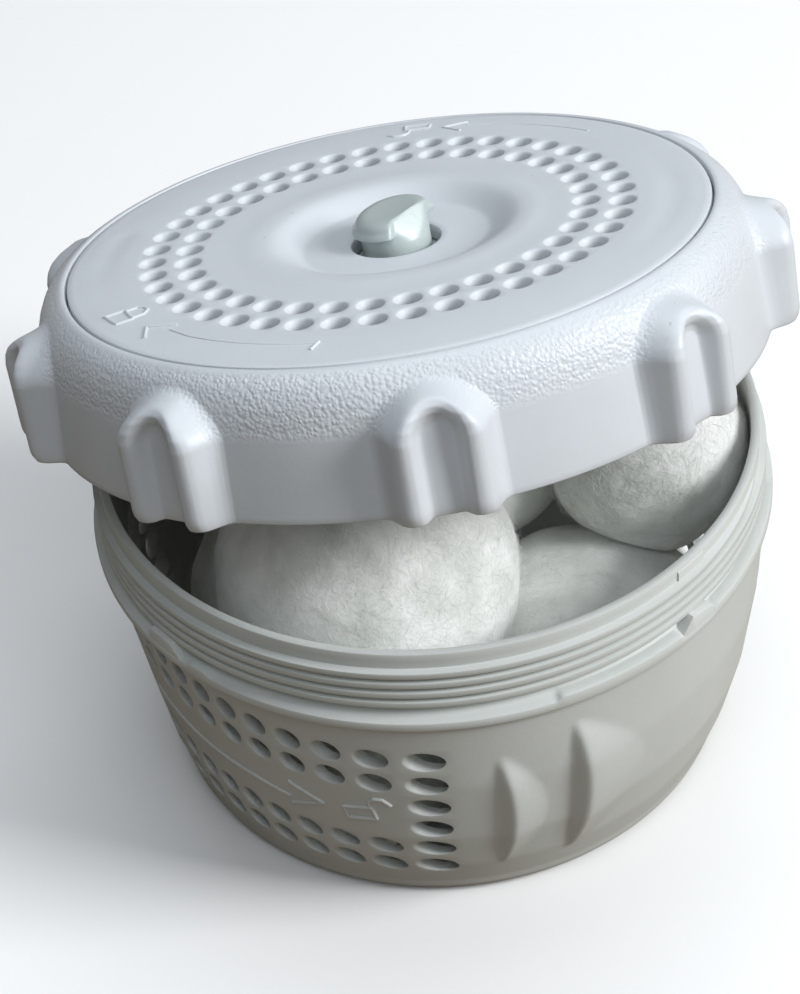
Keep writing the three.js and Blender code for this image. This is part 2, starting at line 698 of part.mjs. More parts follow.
// ---- fibre balls ----------------------------------------------------------------------------------
const capFrame = new THREE.Matrix4().compose(new THREE.Vector3(...capCentre),
  new THREE.Quaternion().setFromEuler(new THREE.Euler(radians(capTilt), radians(capRoll), 0, 'YXZ')),
  new THREE.Vector3(1, 1, 1));
const intoCapFrame = capFrame.clone().invert();
const capAxis = new THREE.Vector3(0, 0, 1).transformDirection(capFrame);

// Where each ball is dropped: its azimuth, how far out as a share of the lip's radius, and how high as a
// share of the basket's height.
const lowerBalls = [
  { name: 'lower_front', azimuth: 243, out: 0.654, up: 0.3, radius: lowerFrontBall },
  { name: 'lower_right', azimuth: 333, out: 0.538, up: 0.4, radius: lowerRightBall },
  { name: 'lower_back', azimuth: 66, out: 0.538, up: 0.4, radius: lowerBall },
  { name: 'lower_left', azimuth: 155, out: 0.538, up: 0.4, radius: lowerBall },
];
const upperBalls = [
  { name: 'front', azimuth: 240, out: 0.481, up: 0.933, radius: frontBall },
  { name: 'right', azimuth: 8, out: 0.692, up: 1, radius: rightBall },
  { name: 'back', azimuth: 88, out: 0.577, up: 1.033, radius: backBall },
  { name: 'left', azimuth: 160, out: 0.596, up: 1.033, radius: leftBall },
  { name: 'middle', azimuth: 50, out: 0.231, up: 1.167, radius: middleBall },
];

// Outlines that the balls lie against, as [radius, height]: the basket's inside from the middle of the
// floor up to the lip, in the basket's frame, and the cap's underside, in the cap's frame.
const basketInside = [
  [0, floorTop], [innerRadius(floorTop) - 3, floorTop], [innerRadius(floorTop + 3), floorTop + 3],
  [innerRadius(bellyHeight), bellyHeight], [innerRadius(flangeBottom), flangeBottom],
  [lipRadius - lipWall, basketHeight],
];
const pressedEnd = retainerEnd - postOverrun - knobTravel;
const postReach = postRadius + dishOffset;
const housingReach = housingOuter + dishOffset;
const capUnderside = [
  [0, pressedEnd], [postReach, pressedEnd], [postReach, retainerEnd], [housingReach, retainerEnd],
  [housingReach, dishUnderside], [dishRadius + 0.6 + dishOffset, -discThickness],
  [ledgeInner - 4, -discThickness],
  [ledgeInner - 4, ledgeBottom - 2.5], [skirtInner - 1.3, ledgeBottom - 2.5],
  [skirtInner - capThreadDepth, -capThreadDrop], [skirtInner - capThreadDepth, -skirtDepth],
];

// Nearest point of an outline to a place, both as radius and height about the outline's axis.
function nearest(outline, radius, height) {
  let best = null;
  for (let i = 1; i < outline.length; i += 1) {
    const [r0, h0] = outline[i - 1];
    const [r1, h1] = outline[i];
    const length = (r1 - r0) ** 2 + (h1 - h0) ** 2;
    const along = ((radius - r0) * (r1 - r0) + (height - h0) * (h1 - h0)) / length;
    const share = THREE.MathUtils.clamp(along, 0, 1);
    const away = [radius - r0 - share * (r1 - r0), height - h0 - share * (h1 - h0)];
    const distance = Math.hypot(...away);
    if (!best || distance < best.distance) best = { distance, away };
  }
  return best;
}

// Clearance of a ball from an outline, and the push that would take it clear.
function clearance(outline, centre, radius, toFrame, inset) {
  const local = centre.clone().applyMatrix4(toFrame);
  const fromAxis = Math.hypot(local.x, local.y);
  const wall = nearest(outline, fromAxis + inset, local.z);
  const out = new THREE.Vector3(local.x, local.y, 0).normalize();
  const away = out.multiplyScalar(wall.away[0]).setZ(wall.away[1]).normalize();
  away.transformDirection(toFrame.clone().invert());
  return { gap: wall.distance - radius, away };
}

function surroundings(centre, radius) {
  const azimuth = THREE.MathUtils.radToDeg(Math.atan2(centre.y, centre.x));
  const drawnIn = panelInset(azimuth, centre.z) * shoulderRadius;
  return [
    clearance(basketInside, centre, radius, new THREE.Matrix4(), drawnIn),
    clearance(capUnderside, centre, radius, intoCapFrame, 0),
  ];
}

// Lets the balls fall and push each other aside, as loose fill does, until they lie still.
function settle(balls, falling, rounds) {
  for (let round = 0; round < rounds; round += 1) {
    const drop = fallStep * (1 - round / rounds);
    for (const ball of falling) ball.centre.z -= drop;
    for (let pass = 0; pass < 6; pass += 1) {
      for (const ball of falling) {
        for (const other of balls) {
          if (other === ball) continue;
          const between = ball.centre.clone().sub(other.centre);
          const overlap = ball.radius + other.radius + GAP - between.length();
          if (overlap <= 0) continue;
          const share = falling.includes(other) ? 0.5 : 1;
          between.normalize();
          ball.centre.addScaledVector(between, overlap * share);
          if (share < 1) other.centre.addScaledVector(between, -overlap * share);
        }
        for (const wall of surroundings(ball.centre, ball.radius)) {
          if (wall.gap < GAP) ball.centre.addScaledVector(wall.away, GAP - wall.gap);
        }
      }
    }
  }
}

function ballAt({ name, azimuth, out, up, radius }) {
  const centre = new THREE.Vector3(out * lipRadius, 0, up * basketHeight);
  return { name, radius, centre: centre.applyAxisAngle(new THREE.Vector3(0, 0, 1), radians(azimuth)) };
}

// The balls, once they lie still. At the end each one is fitted to the room that it really has.
function fibreBalls(walls) {
  const lower = lowerBalls.map(ballAt);
  settle(lower, lower, 200);
  const balls = [...lower, ...upperBalls.map(ballAt)];
  settle(balls, balls, 500);
  for (const prop of balls.filter((ball) => proppingBalls.includes(ball.name))) {
    while (surroundings(prop.centre, prop.radius)[1].gap > GAP + swellStep && prop.radius < frontBall) {
      prop.radius += swellStep;
      settle(balls, [prop], 30);
    }
  }
  for (const ball of balls) {
    const core = wasm.Manifold.sphere(1, 12).translate(ball.centre.toArray());
    for (const wall of walls) {
      ball.radius = Math.min(ball.radius, 1 + core.minGap(wall, ball.radius + 2) - GAP);
    }
    for (const other of balls) {
      if (other === ball) continue;
      const room = ball.centre.distanceTo(other.centre) - GAP;
      if (room < ball.radius + other.radius) {
        const share = room / (ball.radius + other.radius);
        ball.radius *= share;
        other.radius *= share;
      }
    }
  }
  return balls;
}

function fibreBall(ball) {
  const geometry = new THREE.IcosahedronGeometry(ball.radius, 2);
  geometry.translate(...ball.centre.toArray());
  geometry.deleteAttribute('normal');
  geometry.deleteAttribute('uv');
  return mergeVertices(geometry, 1e-4);
}

// How far the cap sinks along its own axis before it rests on the balls or on the basket. It rests once it
// is within a running clearance and one step of swelling.
function capSink(capShapes, resting) {
  const reach = 20;
  let sink = 0;
  for (let room = reach; room > 0.01;) {
    const move = capAxis.clone().multiplyScalar(-sink).toArray();
    const lowered = capShapes.map((shape) => shape.translate(move));
    const gaps = lowered.flatMap((shape) => resting.map((other) => shape.minGap(other, reach)));
    room = Math.min(...gaps) - GAP - swellStep;
    sink += Math.max(0, room);
  }
  return sink;
}

// ---- assembly -------------------------------------------------------------------------------------
const greyPlastic = new THREE.MeshStandardMaterial({ color: 0xc6cccf, roughness: 0.5, metalness: 0 });
const capPlastic = new THREE.MeshStandardMaterial({ color: 0xcbd2d6, roughness: 0.5, metalness: 0 });
const knobPlastic = new THREE.MeshStandardMaterial({ color: 0xb4c0c0, roughness: 0.35, metalness: 0 });
const springSteel = new THREE.MeshStandardMaterial({ color: 0xb9bcbe, roughness: 0.3, metalness: 1 });
const fibre = new THREE.MeshStandardMaterial({ color: 0xe6e9e4, roughness: 1, metalness: 0 });

function piece(name, geometry, material) {
  const mesh = new THREE.Mesh(geometry, material);
  mesh.name = name;
  return mesh;
}

const basket = basketBody();
const capSolids = {
  cap_ring: capRing(), cap_disc: capDisc(), centre_knob: centreKnob(), knob_spring: knobSpring(),
  knob_retainer: knobRetainer(),
};
const capMaterials = {
  cap_ring: capPlastic, cap_disc: capPlastic, centre_knob: knobPlastic, knob_spring: springSteel,
  knob_retainer: knobPlastic,
};

const capShapes = Object.values(capSolids).map((shape) => shape.transform(capFrame.toArray()));
const balls = fibreBalls([basket, ...capShapes]);
const sink = capSink(capShapes, [basket, ...balls.map((ball) => solid(fibreBall(ball)))]);

const cap = new THREE.Group();
cap.position.set(...capCentre).addScaledVector(capAxis, -sink);
cap.rotation.set(radians(capTilt), radians(capRoll), 0, 'YXZ');
for (const [name, shape] of Object.entries(capSolids)) {
  cap.add(piece(name, geometryOf(shape), capMaterials[name]));
}

const canister = new THREE.Group();
canister.add(piece('basket_body', geometryOf(basket), greyPlastic), cap);
for (const ball of balls) canister.add(piece(`fibre_ball_${ball.name}`, fibreBall(ball), fibre));

export default canister;
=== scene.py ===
"""A canister filter for fibre filter balls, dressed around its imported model: a perforated basket with a
threaded neck, packed with soft balls, and a lobed screw cap that stands tilted on them."""
import math

import bmesh
import bpy
import numpy as np
from mathutils import Matrix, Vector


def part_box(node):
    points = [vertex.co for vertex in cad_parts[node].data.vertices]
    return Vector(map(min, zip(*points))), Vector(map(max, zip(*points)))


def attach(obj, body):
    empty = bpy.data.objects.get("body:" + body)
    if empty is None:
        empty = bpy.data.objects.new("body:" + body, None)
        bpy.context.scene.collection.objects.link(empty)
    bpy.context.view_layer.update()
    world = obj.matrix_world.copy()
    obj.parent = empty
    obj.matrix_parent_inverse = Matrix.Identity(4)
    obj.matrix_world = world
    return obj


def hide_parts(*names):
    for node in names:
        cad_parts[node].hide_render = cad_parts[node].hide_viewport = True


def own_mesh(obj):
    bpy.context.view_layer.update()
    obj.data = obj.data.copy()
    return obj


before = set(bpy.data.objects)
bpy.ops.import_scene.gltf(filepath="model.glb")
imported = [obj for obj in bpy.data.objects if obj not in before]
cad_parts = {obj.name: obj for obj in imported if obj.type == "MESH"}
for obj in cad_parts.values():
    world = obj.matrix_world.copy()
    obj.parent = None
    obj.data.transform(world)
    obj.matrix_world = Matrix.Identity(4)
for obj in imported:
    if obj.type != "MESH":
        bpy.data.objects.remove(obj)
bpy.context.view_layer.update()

# ---- View ------------------------------------------------------------------------------------------
# The object is seen from a little above its open side, with the head leaned a few degrees. The focal
# length and place come from the ellipses of the lip, the foot and the cap.
FOCAL_PIXELS = 2492.17
PHOTO_WIDTH = 800
CAMERA_PLACE = (0.0, -0.30007, 0.31072)
CAMERA_RIGHT = (0.99590, -0.04982, -0.07548)
CAMERA_UP = (0.08951, 0.66253, 0.74367)
CAMERA_FORWARD = (-0.01296, 0.74738, -0.66427)


def placed(name, data):
    """A new object that holds its data, put into the scene."""
    added = bpy.data.objects.new(name, data)
    bpy.context.scene.collection.objects.link(added)
    return added


camera_data = bpy.data.cameras.new("camera")
camera_data.sensor_fit = "HORIZONTAL"
camera_data.sensor_width = 36.0
camera_data.lens = FOCAL_PIXELS / PHOTO_WIDTH * camera_data.sensor_width
camera_data.clip_start = 0.01
camera = placed("camera", camera_data)
turn = Matrix((CAMERA_RIGHT, CAMERA_UP, tuple(-x for x in CAMERA_FORWARD))).transposed()
camera.matrix_world = Matrix.Translation(CAMERA_PLACE) @ turn.to_4x4()
bpy.context.scene.camera = camera

# ---- Basket ----------------------------------------------------------------------------------------
# One thin moulding in grey polypropylene. Its two perforated sides are a little flatter than its round
# body. Everything below is in millimetres and degrees, as the mould's drawing would be.
BASKET_HEIGHT = 60.0
LIP_RADIUS = 52.0
LIP_INNER = 50.6
BASKET_WALL = 1.9
FLANGE_TOP = 48.8                  # at the neck
FLANGE_FALL = 0.8                  # its top slopes down to its edge, except where the edge is raised
FLANGE_BOTTOM = 46.3
FLANGE_RADIUS = 54.2
SHOULDER_RADIUS = 53.4
EDGE_RISE = 0.85                   # share of that fall which a raised edge has back
EDGE_STEP = 0.9                    # degrees over which it ends
RAISED_EDGES = ((224.5, 228.8), (287.0, 310.4), (318.7, 350.0))
FOOT_RADIUS = 46.4
FOOT_ROUND = 3.2
FLOOR_TOP = 3.4
THREAD_DEPTH = 1.1
THREAD_PITCH = 1.95
NECK_THREAD_TOP = 57.9
NECK_THREAD_START = 341.3
NECK_THREAD_TURNS = 4
THREAD_STEPS = 150                 # for each turn
THREAD_FADE = 14                   # it reaches its depth in this part of a turn,
THREAD_SINK = 0.04                 # and starts this share of it under the wall
# Each lug on the flange as the heights of its top from azimuth to azimuth.
STOP_LUG = ((214.6, 48.2), (215.2, 50.0), (218.0, 50.1), (220.4, 50.0), (221.4, 49.2), (223.1, 47.8))
RAMP_LUG = ((310.4, 48.2), (312.8, 50.6), (317.3, 49.9), (317.9, 49.6), (318.7, 47.8))
BAND_TAB = ((311.5, 59.3), (318.0, 59.3))
RIDGE_ENDS = (1.3, 2.2)            # degrees from left edge to crest and right edge, at a ridge's pointed ends
RIDGE_ROUND = 0.3                  # how softly the crest is rounded, as a share of its height
RIDGE_LIFT = 1.15                  # makes up for what that takes
# Thumb ridges: left edge, how far crest and right edge bow, height, middle and half length.
THUMB_RIDGES = ((275.9, 2.0, 7.4, 1.65, 23.4, 14.0), (288.8, 2.2, 14.0, 2.1, 24.8, 16.5))
PANEL_AZIMUTHS = (35.5, 215.5)
PANEL_HALF_ANGLE = 56.0
PANEL_FLAT = 2.1
PANEL_RISE = 15.3                  # the height, above the foot, over which it flattens
FLAT_FROM = 43.0                   # the radius from which it does
INSIDE_FROM = (47.0, 6.0)          # radius and height from which the inside's columns face the outside's
HOLE_PITCH = 5.72
HOLE_ROW_PITCH = 5.65
HOLE_COLUMNS = 15
HOLE_ROWS = 6
MARKED_ROWS = (2, 3)               # with a hole only at each end, beside the marks
LOWEST_ROW = 10.05
HOLE_SPLIT = 6                     # grid steps across the square that holds one hole
PLAIN_STEPS = 150                  # grid steps on each side between the panels
MARK_BEAD = (0.6, 0.4)             # width and height of a raised line
# Each bore is crisp outside and flares towards the inside, so that its wall shows thin.
BORE_STEPS = ((2.24, 0.0), (2.15, 0.03), (2.09, 0.12), (2.06, 0.3), (2.05, 0.75))
BORE_END = ((2.58, 0.25), (2.66, 0.1), (2.7, 0.0))


def linear(hex_colour):
    """A colour written as sRGB hex, as the linear RGBA that shaders take."""
    parts = [int(hex_colour[i:i + 2], 16) / 255 for i in (1, 3, 5)]
    return [p / 12.92 if p <= 0.04045 else ((p + 0.055) / 1.055) ** 2.4 for p in parts] + [1.0]


def feed(shader, inputs):
    """Sets a node's inputs, or links them where a socket is given."""
    for name, value in inputs.items():
        if isinstance(value, bpy.types.NodeSocket):
            shader.id_data.links.new(value, shader.inputs[name])
        else:
            shader.inputs[name].default_value = value


def node(tree, kind, inputs=None, **settings):
    """Adds a shader node with its settings, which are its attributes, and its inputs."""
    added = tree.nodes.new("ShaderNode" + kind)
    for name, value in settings.items():
        setattr(added, name, value)
    feed(added, inputs or {})
    return added


def new_material(name):
    """A material, with its node tree, its Principled shader and the place on the piece."""
    material = bpy.data.materials.new(name)
    material.use_nodes = True
    tree = material.node_tree
    return material, tree, tree.nodes["Principled BSDF"], node(tree, "TexCoord").outputs["Object"]


# Sizes of the plastic's patterns in millimetres. The real spark-eroded skin is about a tenth of its size
# here, at which it wouldn't show.
MOTTLE_SIZE = 11.1
SPECK_SIZE = 2.38
SKIN_SIZE = 0.91
SWAY_SIZE = 1.43                   # bends the rows of the grain's pebbles


def moulded_plastic(name, colour, shade, roughness, grain=0.0, grain_size=1.0):
    """Injection-moulded polypropylene: satin, with a faint mottle where the melt flowed, a spark-eroded
    skin that blurs its shine, and a few specks of dirt. Where a grain is asked for, the attribute 'grain'
    says how strong it stands."""
    material, tree, shader, place = new_material(name)
    mottle = node(tree, "TexNoise", {"Vector": place, "Scale": 1000 / MOTTLE_SIZE, "Detail": 4.0,
                                     "Roughness": 0.6})
    tone = node(tree, "Mix", {"Factor": mottle.outputs["Fac"], "A": linear(shade), "B": linear(colour)},
                data_type="RGBA")
    specks = node(tree, "TexNoise", {"Vector": place, "Scale": 1000 / SPECK_SIZE, "Detail": 3.0})
    dirty = node(tree, "MapRange", {"Value": specks.outputs["Fac"], "From Min": 0.75, "From Max": 0.79,
                                    "To Max": 0.3})
    soiled = node(tree, "Mix", {"Factor": dirty.outputs["Result"], "A": tone.outputs["Result"],
                                "B": linear("#5A564E")}, data_type="RGBA")
    skin = node(tree, "TexNoise", {"Vector": place, "Scale": 1000 / SKIN_SIZE, "Detail": 2.0})
    gloss = node(tree, "MapRange", {"Value": mottle.outputs["Fac"], "To Min": roughness - 0.06,
                                    "To Max": roughness + 0.06})
    bump = node(tree, "Bump", {"Height": skin.outputs["Fac"], "Strength": 0.35, "Distance": 0.00006})
    if grain:
        sway = node(tree, "TexNoise", {"Vector": place, "Scale": 1000 / SWAY_SIZE, "Detail": 1.0})
        swayed = node(tree, "Mix", {"Factor": 0.0006, "A": place, "B": sway.outputs["Color"]},
                      data_type="RGBA", blend_type="ADD")
        pebbles = node(tree, "TexVoronoi", {"Vector": swayed.outputs["Result"],
                                            "Scale": 1000 / grain_size, "Smoothness": 0.45},
                       feature="SMOOTH_F1")
        strength = node(tree, "Attribute", attribute_name="grain")
        height = node(tree, "Math", {0: pebbles.outputs["Distance"], 1: strength.outputs["Fac"]},
                      operation="MULTIPLY")
        bump = node(tree, "Bump", {"Height": height.outputs["Value"], "Strength": 1.0,
                                   "Distance": grain * 0.001, "Normal": bump.outputs["Normal"]}, invert=True)
    feed(shader, {"Base Color": soiled.outputs["Result"], "Roughness": gloss.outputs["Result"],
                  "IOR": 1.49, "Normal": bump.outputs["Normal"]})
    return material


def grid_quads(rows, columns, closed_rows, closed_columns):
    """Corner numbers of the quads of a grid of points, row by row."""
    r = np.arange(rows if closed_rows else rows - 1)[:, None]
    c = np.arange(columns if closed_columns else columns - 1)[None, :]
    r2, c2 = (r + 1) % rows, (c + 1) % columns
    return np.stack([r * columns + c, r * columns + c2, r2 * columns + c2, r2 * columns + c], -1)


def mesh_of(name, points, faces):
    """A mesh from points in millimetres and faces as blocks of corner numbers."""
    mesh = bpy.data.meshes.new(name)
    mesh.from_pydata((points * 0.001).tolist(), [], [face for block in faces for face in block.tolist()])
    return mesh


def finished(name, mesh, material):
    """The object of a mesh, smooth all over and of one material."""
    mesh.polygons.foreach_set("use_smooth", np.ones(len(mesh.polygons), bool))
    mesh.materials.append(material)
    return placed(name, mesh)


def moulding(name, points, faces, material, sharp=32.0, **attributes):
    """A rigid piece: its doubles are merged, its faces turned outwards, and edges sharper than an angle
    kept crisp."""
    mesh = mesh_of(name, points, faces)
    for key, values in attributes.items():
        mesh.attributes.new(key, "FLOAT", "POINT").data.foreach_set("value", values.astype(np.float32))
    solid = bmesh.new()
    solid.from_mesh(mesh)
    bmesh.ops.remove_doubles(solid, verts=solid.verts, dist=2e-6)
    bmesh.ops.dissolve_degenerate(solid, edges=solid.edges, dist=1e-7)
    bmesh.ops.recalc_face_normals(solid, faces=solid.faces)
    solid.to_mesh(mesh)
    solid.free()
    piece = finished(name, mesh, material)
    mesh.set_sharp_from_angle(angle=math.radians(sharp))
    return piece


def round_axis(azimuth, out, z, aside=0.0):
    """Points about the axis: a distance out along an azimuth in degrees, another aside, and a height."""
    a = np.radians(azimuth)
    x = out * np.cos(a) - aside * np.sin(a)
    y = out * np.sin(a) + aside * np.cos(a)
    return np.stack(np.broadcast_arrays(x, y, z), -1)


def degrees_from(azimuth, middle):
    """How far an azimuth lies from a middle one, from -180 to 180."""
    return (azimuth - middle + 180) % 360 - 180


def eased(t):
    """A rise from 0 to 1 that starts and ends level: three times the square less twice the cube."""
    return t * t * (3 - 2 * t)


def body_radius(z):
    """Outside radius of the basket's body: the curve through foot, belly and shoulder."""
    return np.interp(z, [FOOT_ROUND, 10.0, 18.5, 32.0, FLANGE_BOTTOM],
                     [FOOT_RADIUS, 48.7, 50.7, 52.5, SHOULDER_RADIUS])


def panel_inset(azimuth, z):
    """Share by which the wall is drawn in: a squared cosine across a panel, rising from the foot."""
    away = np.min([np.abs(degrees_from(azimuth, middle)) for middle in PANEL_AZIMUTHS], axis=0)
    across = np.where(away < PANEL_HALF_ANGLE, np.cos(np.pi / 2 * away / PANEL_HALF_ANGLE) ** 2, 0.0)
    rise = np.clip((z - FOOT_ROUND) / PANEL_RISE, 0, 1)
    return PANEL_FLAT / SHOULDER_RADIUS * across * rise * (z < FLANGE_BOTTOM + 0.01)


def crescent(azimuth, z, left, crest, width, height, middle, half):
    """Height of a thumb ridge over the wall: it climbs from its straight left edge to a crest that bows
    to the right, then falls more gently to its right edge. Both ends close to a point."""
    swell = np.clip(1 - ((z - middle) / half) ** 2, 0, 1)
    across = degrees_from(azimuth, left)
    top = RIDGE_ENDS[0] + crest * swell
    edge = RIDGE_ENDS[1] + width * swell
    rise = eased(np.clip(across / top, 0, 1))
    fall = np.clip((edge - across) / (edge - top), 0, 1) ** 1.4
    rounded = np.maximum(rise + fall - np.hypot(rise - fall, RIDGE_ROUND), 0) / 2
    return height * swell ** 0.8 * rounded * RIDGE_LIFT


def basket_columns():
    """Azimuths of the grid's columns, and for those on a panel their distance from its middle."""
    top = body_radius(LOWEST_ROW + (HOLE_ROWS - 1) * HOLE_ROW_PITCH)
    lateral = (np.arange(HOLE_COLUMNS * HOLE_SPLIT + 1) / HOLE_SPLIT - HOLE_COLUMNS / 2) * HOLE_PITCH
    on_panel = np.degrees(np.arcsin(lateral / top))
    between = np.linspace(on_panel[-1], 180 - on_panel[-1], PLAIN_STEPS + 1)[1:-1]
    half_turn = np.concatenate([on_panel, between])
    flat = np.concatenate([lateral, np.full(len(between), np.nan)])
    azimuth = np.concatenate([half_turn + p for p in PANEL_AZIMUTHS])
    return azimuth, np.tile(flat, 2), top


def tube(points):
    """A closed shell: a section carried along a path, as points by step and corner, with flat ends."""
    steps, corners = points.shape[:2]
    ends = np.arange(corners) + np.array([[0], [(steps - 1) * corners]])
    return points.reshape(-1, 3), [grid_quads(steps, corners, False, True).reshape(-1, 4), ends]


def thread(root, depth, top, pitch, turns, start):
    """A right-handed screw thread as a closed shell of its own: a section with a nearly level top face, an
    upright crest and rounded corners, carried up round the axis by one pitch each turn. It fades into the
    wall at both ends, and its root is sunk into the wall. A negative depth makes an inside thread."""
    out = np.array([-0.45, 0.0, 0.86, 0.96, 1.0, 1.0, 0.95, 0.84, 0.0, -0.45])
    down = np.array([0.02, 0.08, 0.165, 0.19, 0.25, 0.66, 0.71, 0.74, 0.82, 0.86])
    turn = np.linspace(0, turns, turns * THREAD_STEPS + 1)
    fade = np.clip(np.minimum(turn, turns - turn) * THREAD_FADE, 0, 1)[:, None] ** 0.6
    stand = np.where(out > 0, out * fade - THREAD_SINK * (1 - fade), out)
    height = (top - pitch * (turns - turn))[:, None] - pitch * down
    return tube(round_axis((start + 360 * turn)[:, None], root + depth * stand, height))


def flange_edge(azimuth):
    """Height of the flange's edge: its top falls to it, but a smooth step raises it over some spans."""
    raised = np.zeros_like(azimuth)
    for first, last in RAISED_EDGES:
        away = np.abs((azimuth - (first + last) / 2 + 90) % 180 - 90)
        raised = np.maximum(raised, np.clip(((last - first) / 2 - away) / EDGE_STEP + 0.5, 0, 1))
    return FLANGE_TOP - FLANGE_FALL * (1 - EDGE_RISE * raised)


def basket_grid():
    """Points of the basket as a closed profile of rows round its columns: standing face, outside of the
    wall, flange, neck, lip, inside of the wall and floor. Returns them with the rows of the holes."""
    azimuth, flat, top = basket_columns()
    hole_rows = LOWEST_ROW + (np.arange(HOLE_ROWS * HOLE_SPLIT + 1) / HOLE_SPLIT - 0.5) * HOLE_ROW_PITCH
    foot_turn = np.radians(np.linspace(-90, -12, 6))
    under = [(0.0, 0.0), (8.0, 0.0), (11.2, 0.0), (12.0, 1.0), (34.0, 1.0), (35.0, 1.0), (35.8, 0.0),
             (38.0, 0.0)]
    under += [(FOOT_RADIUS - FOOT_ROUND + FOOT_ROUND * math.cos(a), FOOT_ROUND + FOOT_ROUND * math.sin(a))
              for a in foot_turn]
    below = np.linspace(FOOT_ROUND, hole_rows[0], 5)[:-1]
    above = np.linspace(hole_rows[-1], FLANGE_BOTTOM - 0.9, 7)[1:]
    wall = np.concatenate([below, hole_rows, above])
    first_hole = len(under) + len(below)
    # Rows of the flange as radius, height where its edge is low, and share of the edge's rise.
    flange = np.array([(53.43, 45.7, 0), (53.55, 46.0, 0), (53.8, 46.25, 0), (54.08, 46.4, 0),
                       (FLANGE_RADIUS, 46.7, 0), (FLANGE_RADIUS, 47.65, 1), (54.1, 47.9, 1),
                       (53.85, 48.02, 1), (53.0, 48.35, 0.6), (52.35, 48.66, 0.15), (LIP_RADIUS, 49.0, 0)])
    neck = [(LIP_RADIUS, z) for z in (49.4, 50.6, 53.0, 55.6, 57.6)]
    lip = [(LIP_RADIUS, 58.6), (LIP_RADIUS, 59.6), (LIP_RADIUS - 0.12, 59.88), (LIP_RADIUS - 0.4, 60.0),
           (LIP_RADIUS - 1.0, 60.0), (LIP_RADIUS - 1.28, 59.88), (LIP_INNER, 59.6),
           (LIP_INNER, 56.0), (LIP_INNER, 50.0)]
    inside = np.concatenate([np.linspace(FLANGE_BOTTOM, hole_rows[-1], 4)[:-1], hole_rows[::-1]])
    floor = [(44.6, 5.4), (43.2, 4.0), (41.6, FLOOR_TOP), (30.0, FLOOR_TOP), (12.0, FLOOR_TOP),
             (0.0, FLOOR_TOP)]

    def ring(profile):
        r, z = np.array(profile, float).T
        return np.repeat(r[:, None], len(azimuth), 1), np.repeat(z[:, None], len(azimuth), 1)

    r_wall, z_wall = ring(np.stack([body_radius(wall), wall], 1))
    for left, *shape in THUMB_RIDGES:
        for side in (0, 180):
            r_wall += crescent(azimuth, z_wall, left + side, *shape)
    r_flange, z_flange = ring(flange[:, :2])
    z_flange += flange[:, 2:] * (flange_edge(azimuth) - FLANGE_TOP + FLANGE_FALL)
    r_in, z_in = ring(np.stack([np.minimum(LIP_INNER, body_radius(inside) - BASKET_WALL), inside], 1))
    parts = [ring(under), (r_wall, z_wall), (r_flange, z_flange), ring(neck), ring(lip), (r_in, z_in),
             ring(floor)]
    radius = np.concatenate([p[0] for p in parts])
    z = np.concatenate([p[1] for p in parts])
    # Inside, a column on a panel keeps the same distance from the panel's middle as outside.
    level = body_radius(z) / top
    seen = np.where(np.isnan(flat), 0, flat) * level
    turned = np.degrees(np.arcsin(np.clip(seen / np.maximum(radius, 1), -1, 1)))
    middle = np.repeat(PANEL_AZIMUTHS, len(azimuth) // 2)
    on_wall = (radius > INSIDE_FROM[0]) & (z > INSIDE_FROM[1]) & (z < FLANGE_BOTTOM + 0.01)
    inner = np.arange(len(z)) >= sum(len(p[0]) for p in parts[:5])
    shifted = np.where(np.isnan(flat), azimuth, middle + turned)
    at = np.where(on_wall & inner[:, None], shifted, azimuth)
    scale = 1 - panel_inset(azimuth, z) * (radius > FLAT_FROM)
    first_inner = len(z) - len(floor) - len(hole_rows)
    rows_out = first_hole + np.arange(len(hole_rows))
    rows_in = first_inner + np.arange(len(hole_rows))[::-1]
    return round_axis(at, radius * scale, z), rows_out, rows_in


def square_edge(steps_up, steps_across):
    """Grid steps (up, across) round the edge of a rectangle of cells, once round."""
    a, b = np.arange(steps_across), np.arange(steps_up)
    return np.concatenate([np.stack([0 * a, a], 1), np.stack([b, 0 * b + steps_across], 1),
                           np.stack([0 * a + steps_up, steps_across - a], 1),
                           np.stack([steps_up - b, 0 * b], 1)])


def bore_through(points, edge_out, edge_in, loops):
    """Points and quads that lead from each hole's edge in the outer face, through its loops, to its edge
    in the inner face. Edges are point numbers, holes by corners; loops are holes by loops by corners."""
    holes, count, corners = loops.shape[:3]
    numbers = len(points) + np.arange(holes * count * corners).reshape(holes, count, corners)
    chain = np.concatenate([edge_out[:, None], numbers, edge_in[:, None]], 1)
    after = np.roll(chain, -1, axis=2)
    quads = np.stack([chain[:, :-1], after[:, :-1], after[:, 1:], chain[:, 1:]], -1)
    return np.concatenate([points, loops.reshape(-1, 3)]), quads.reshape(-1, 4)


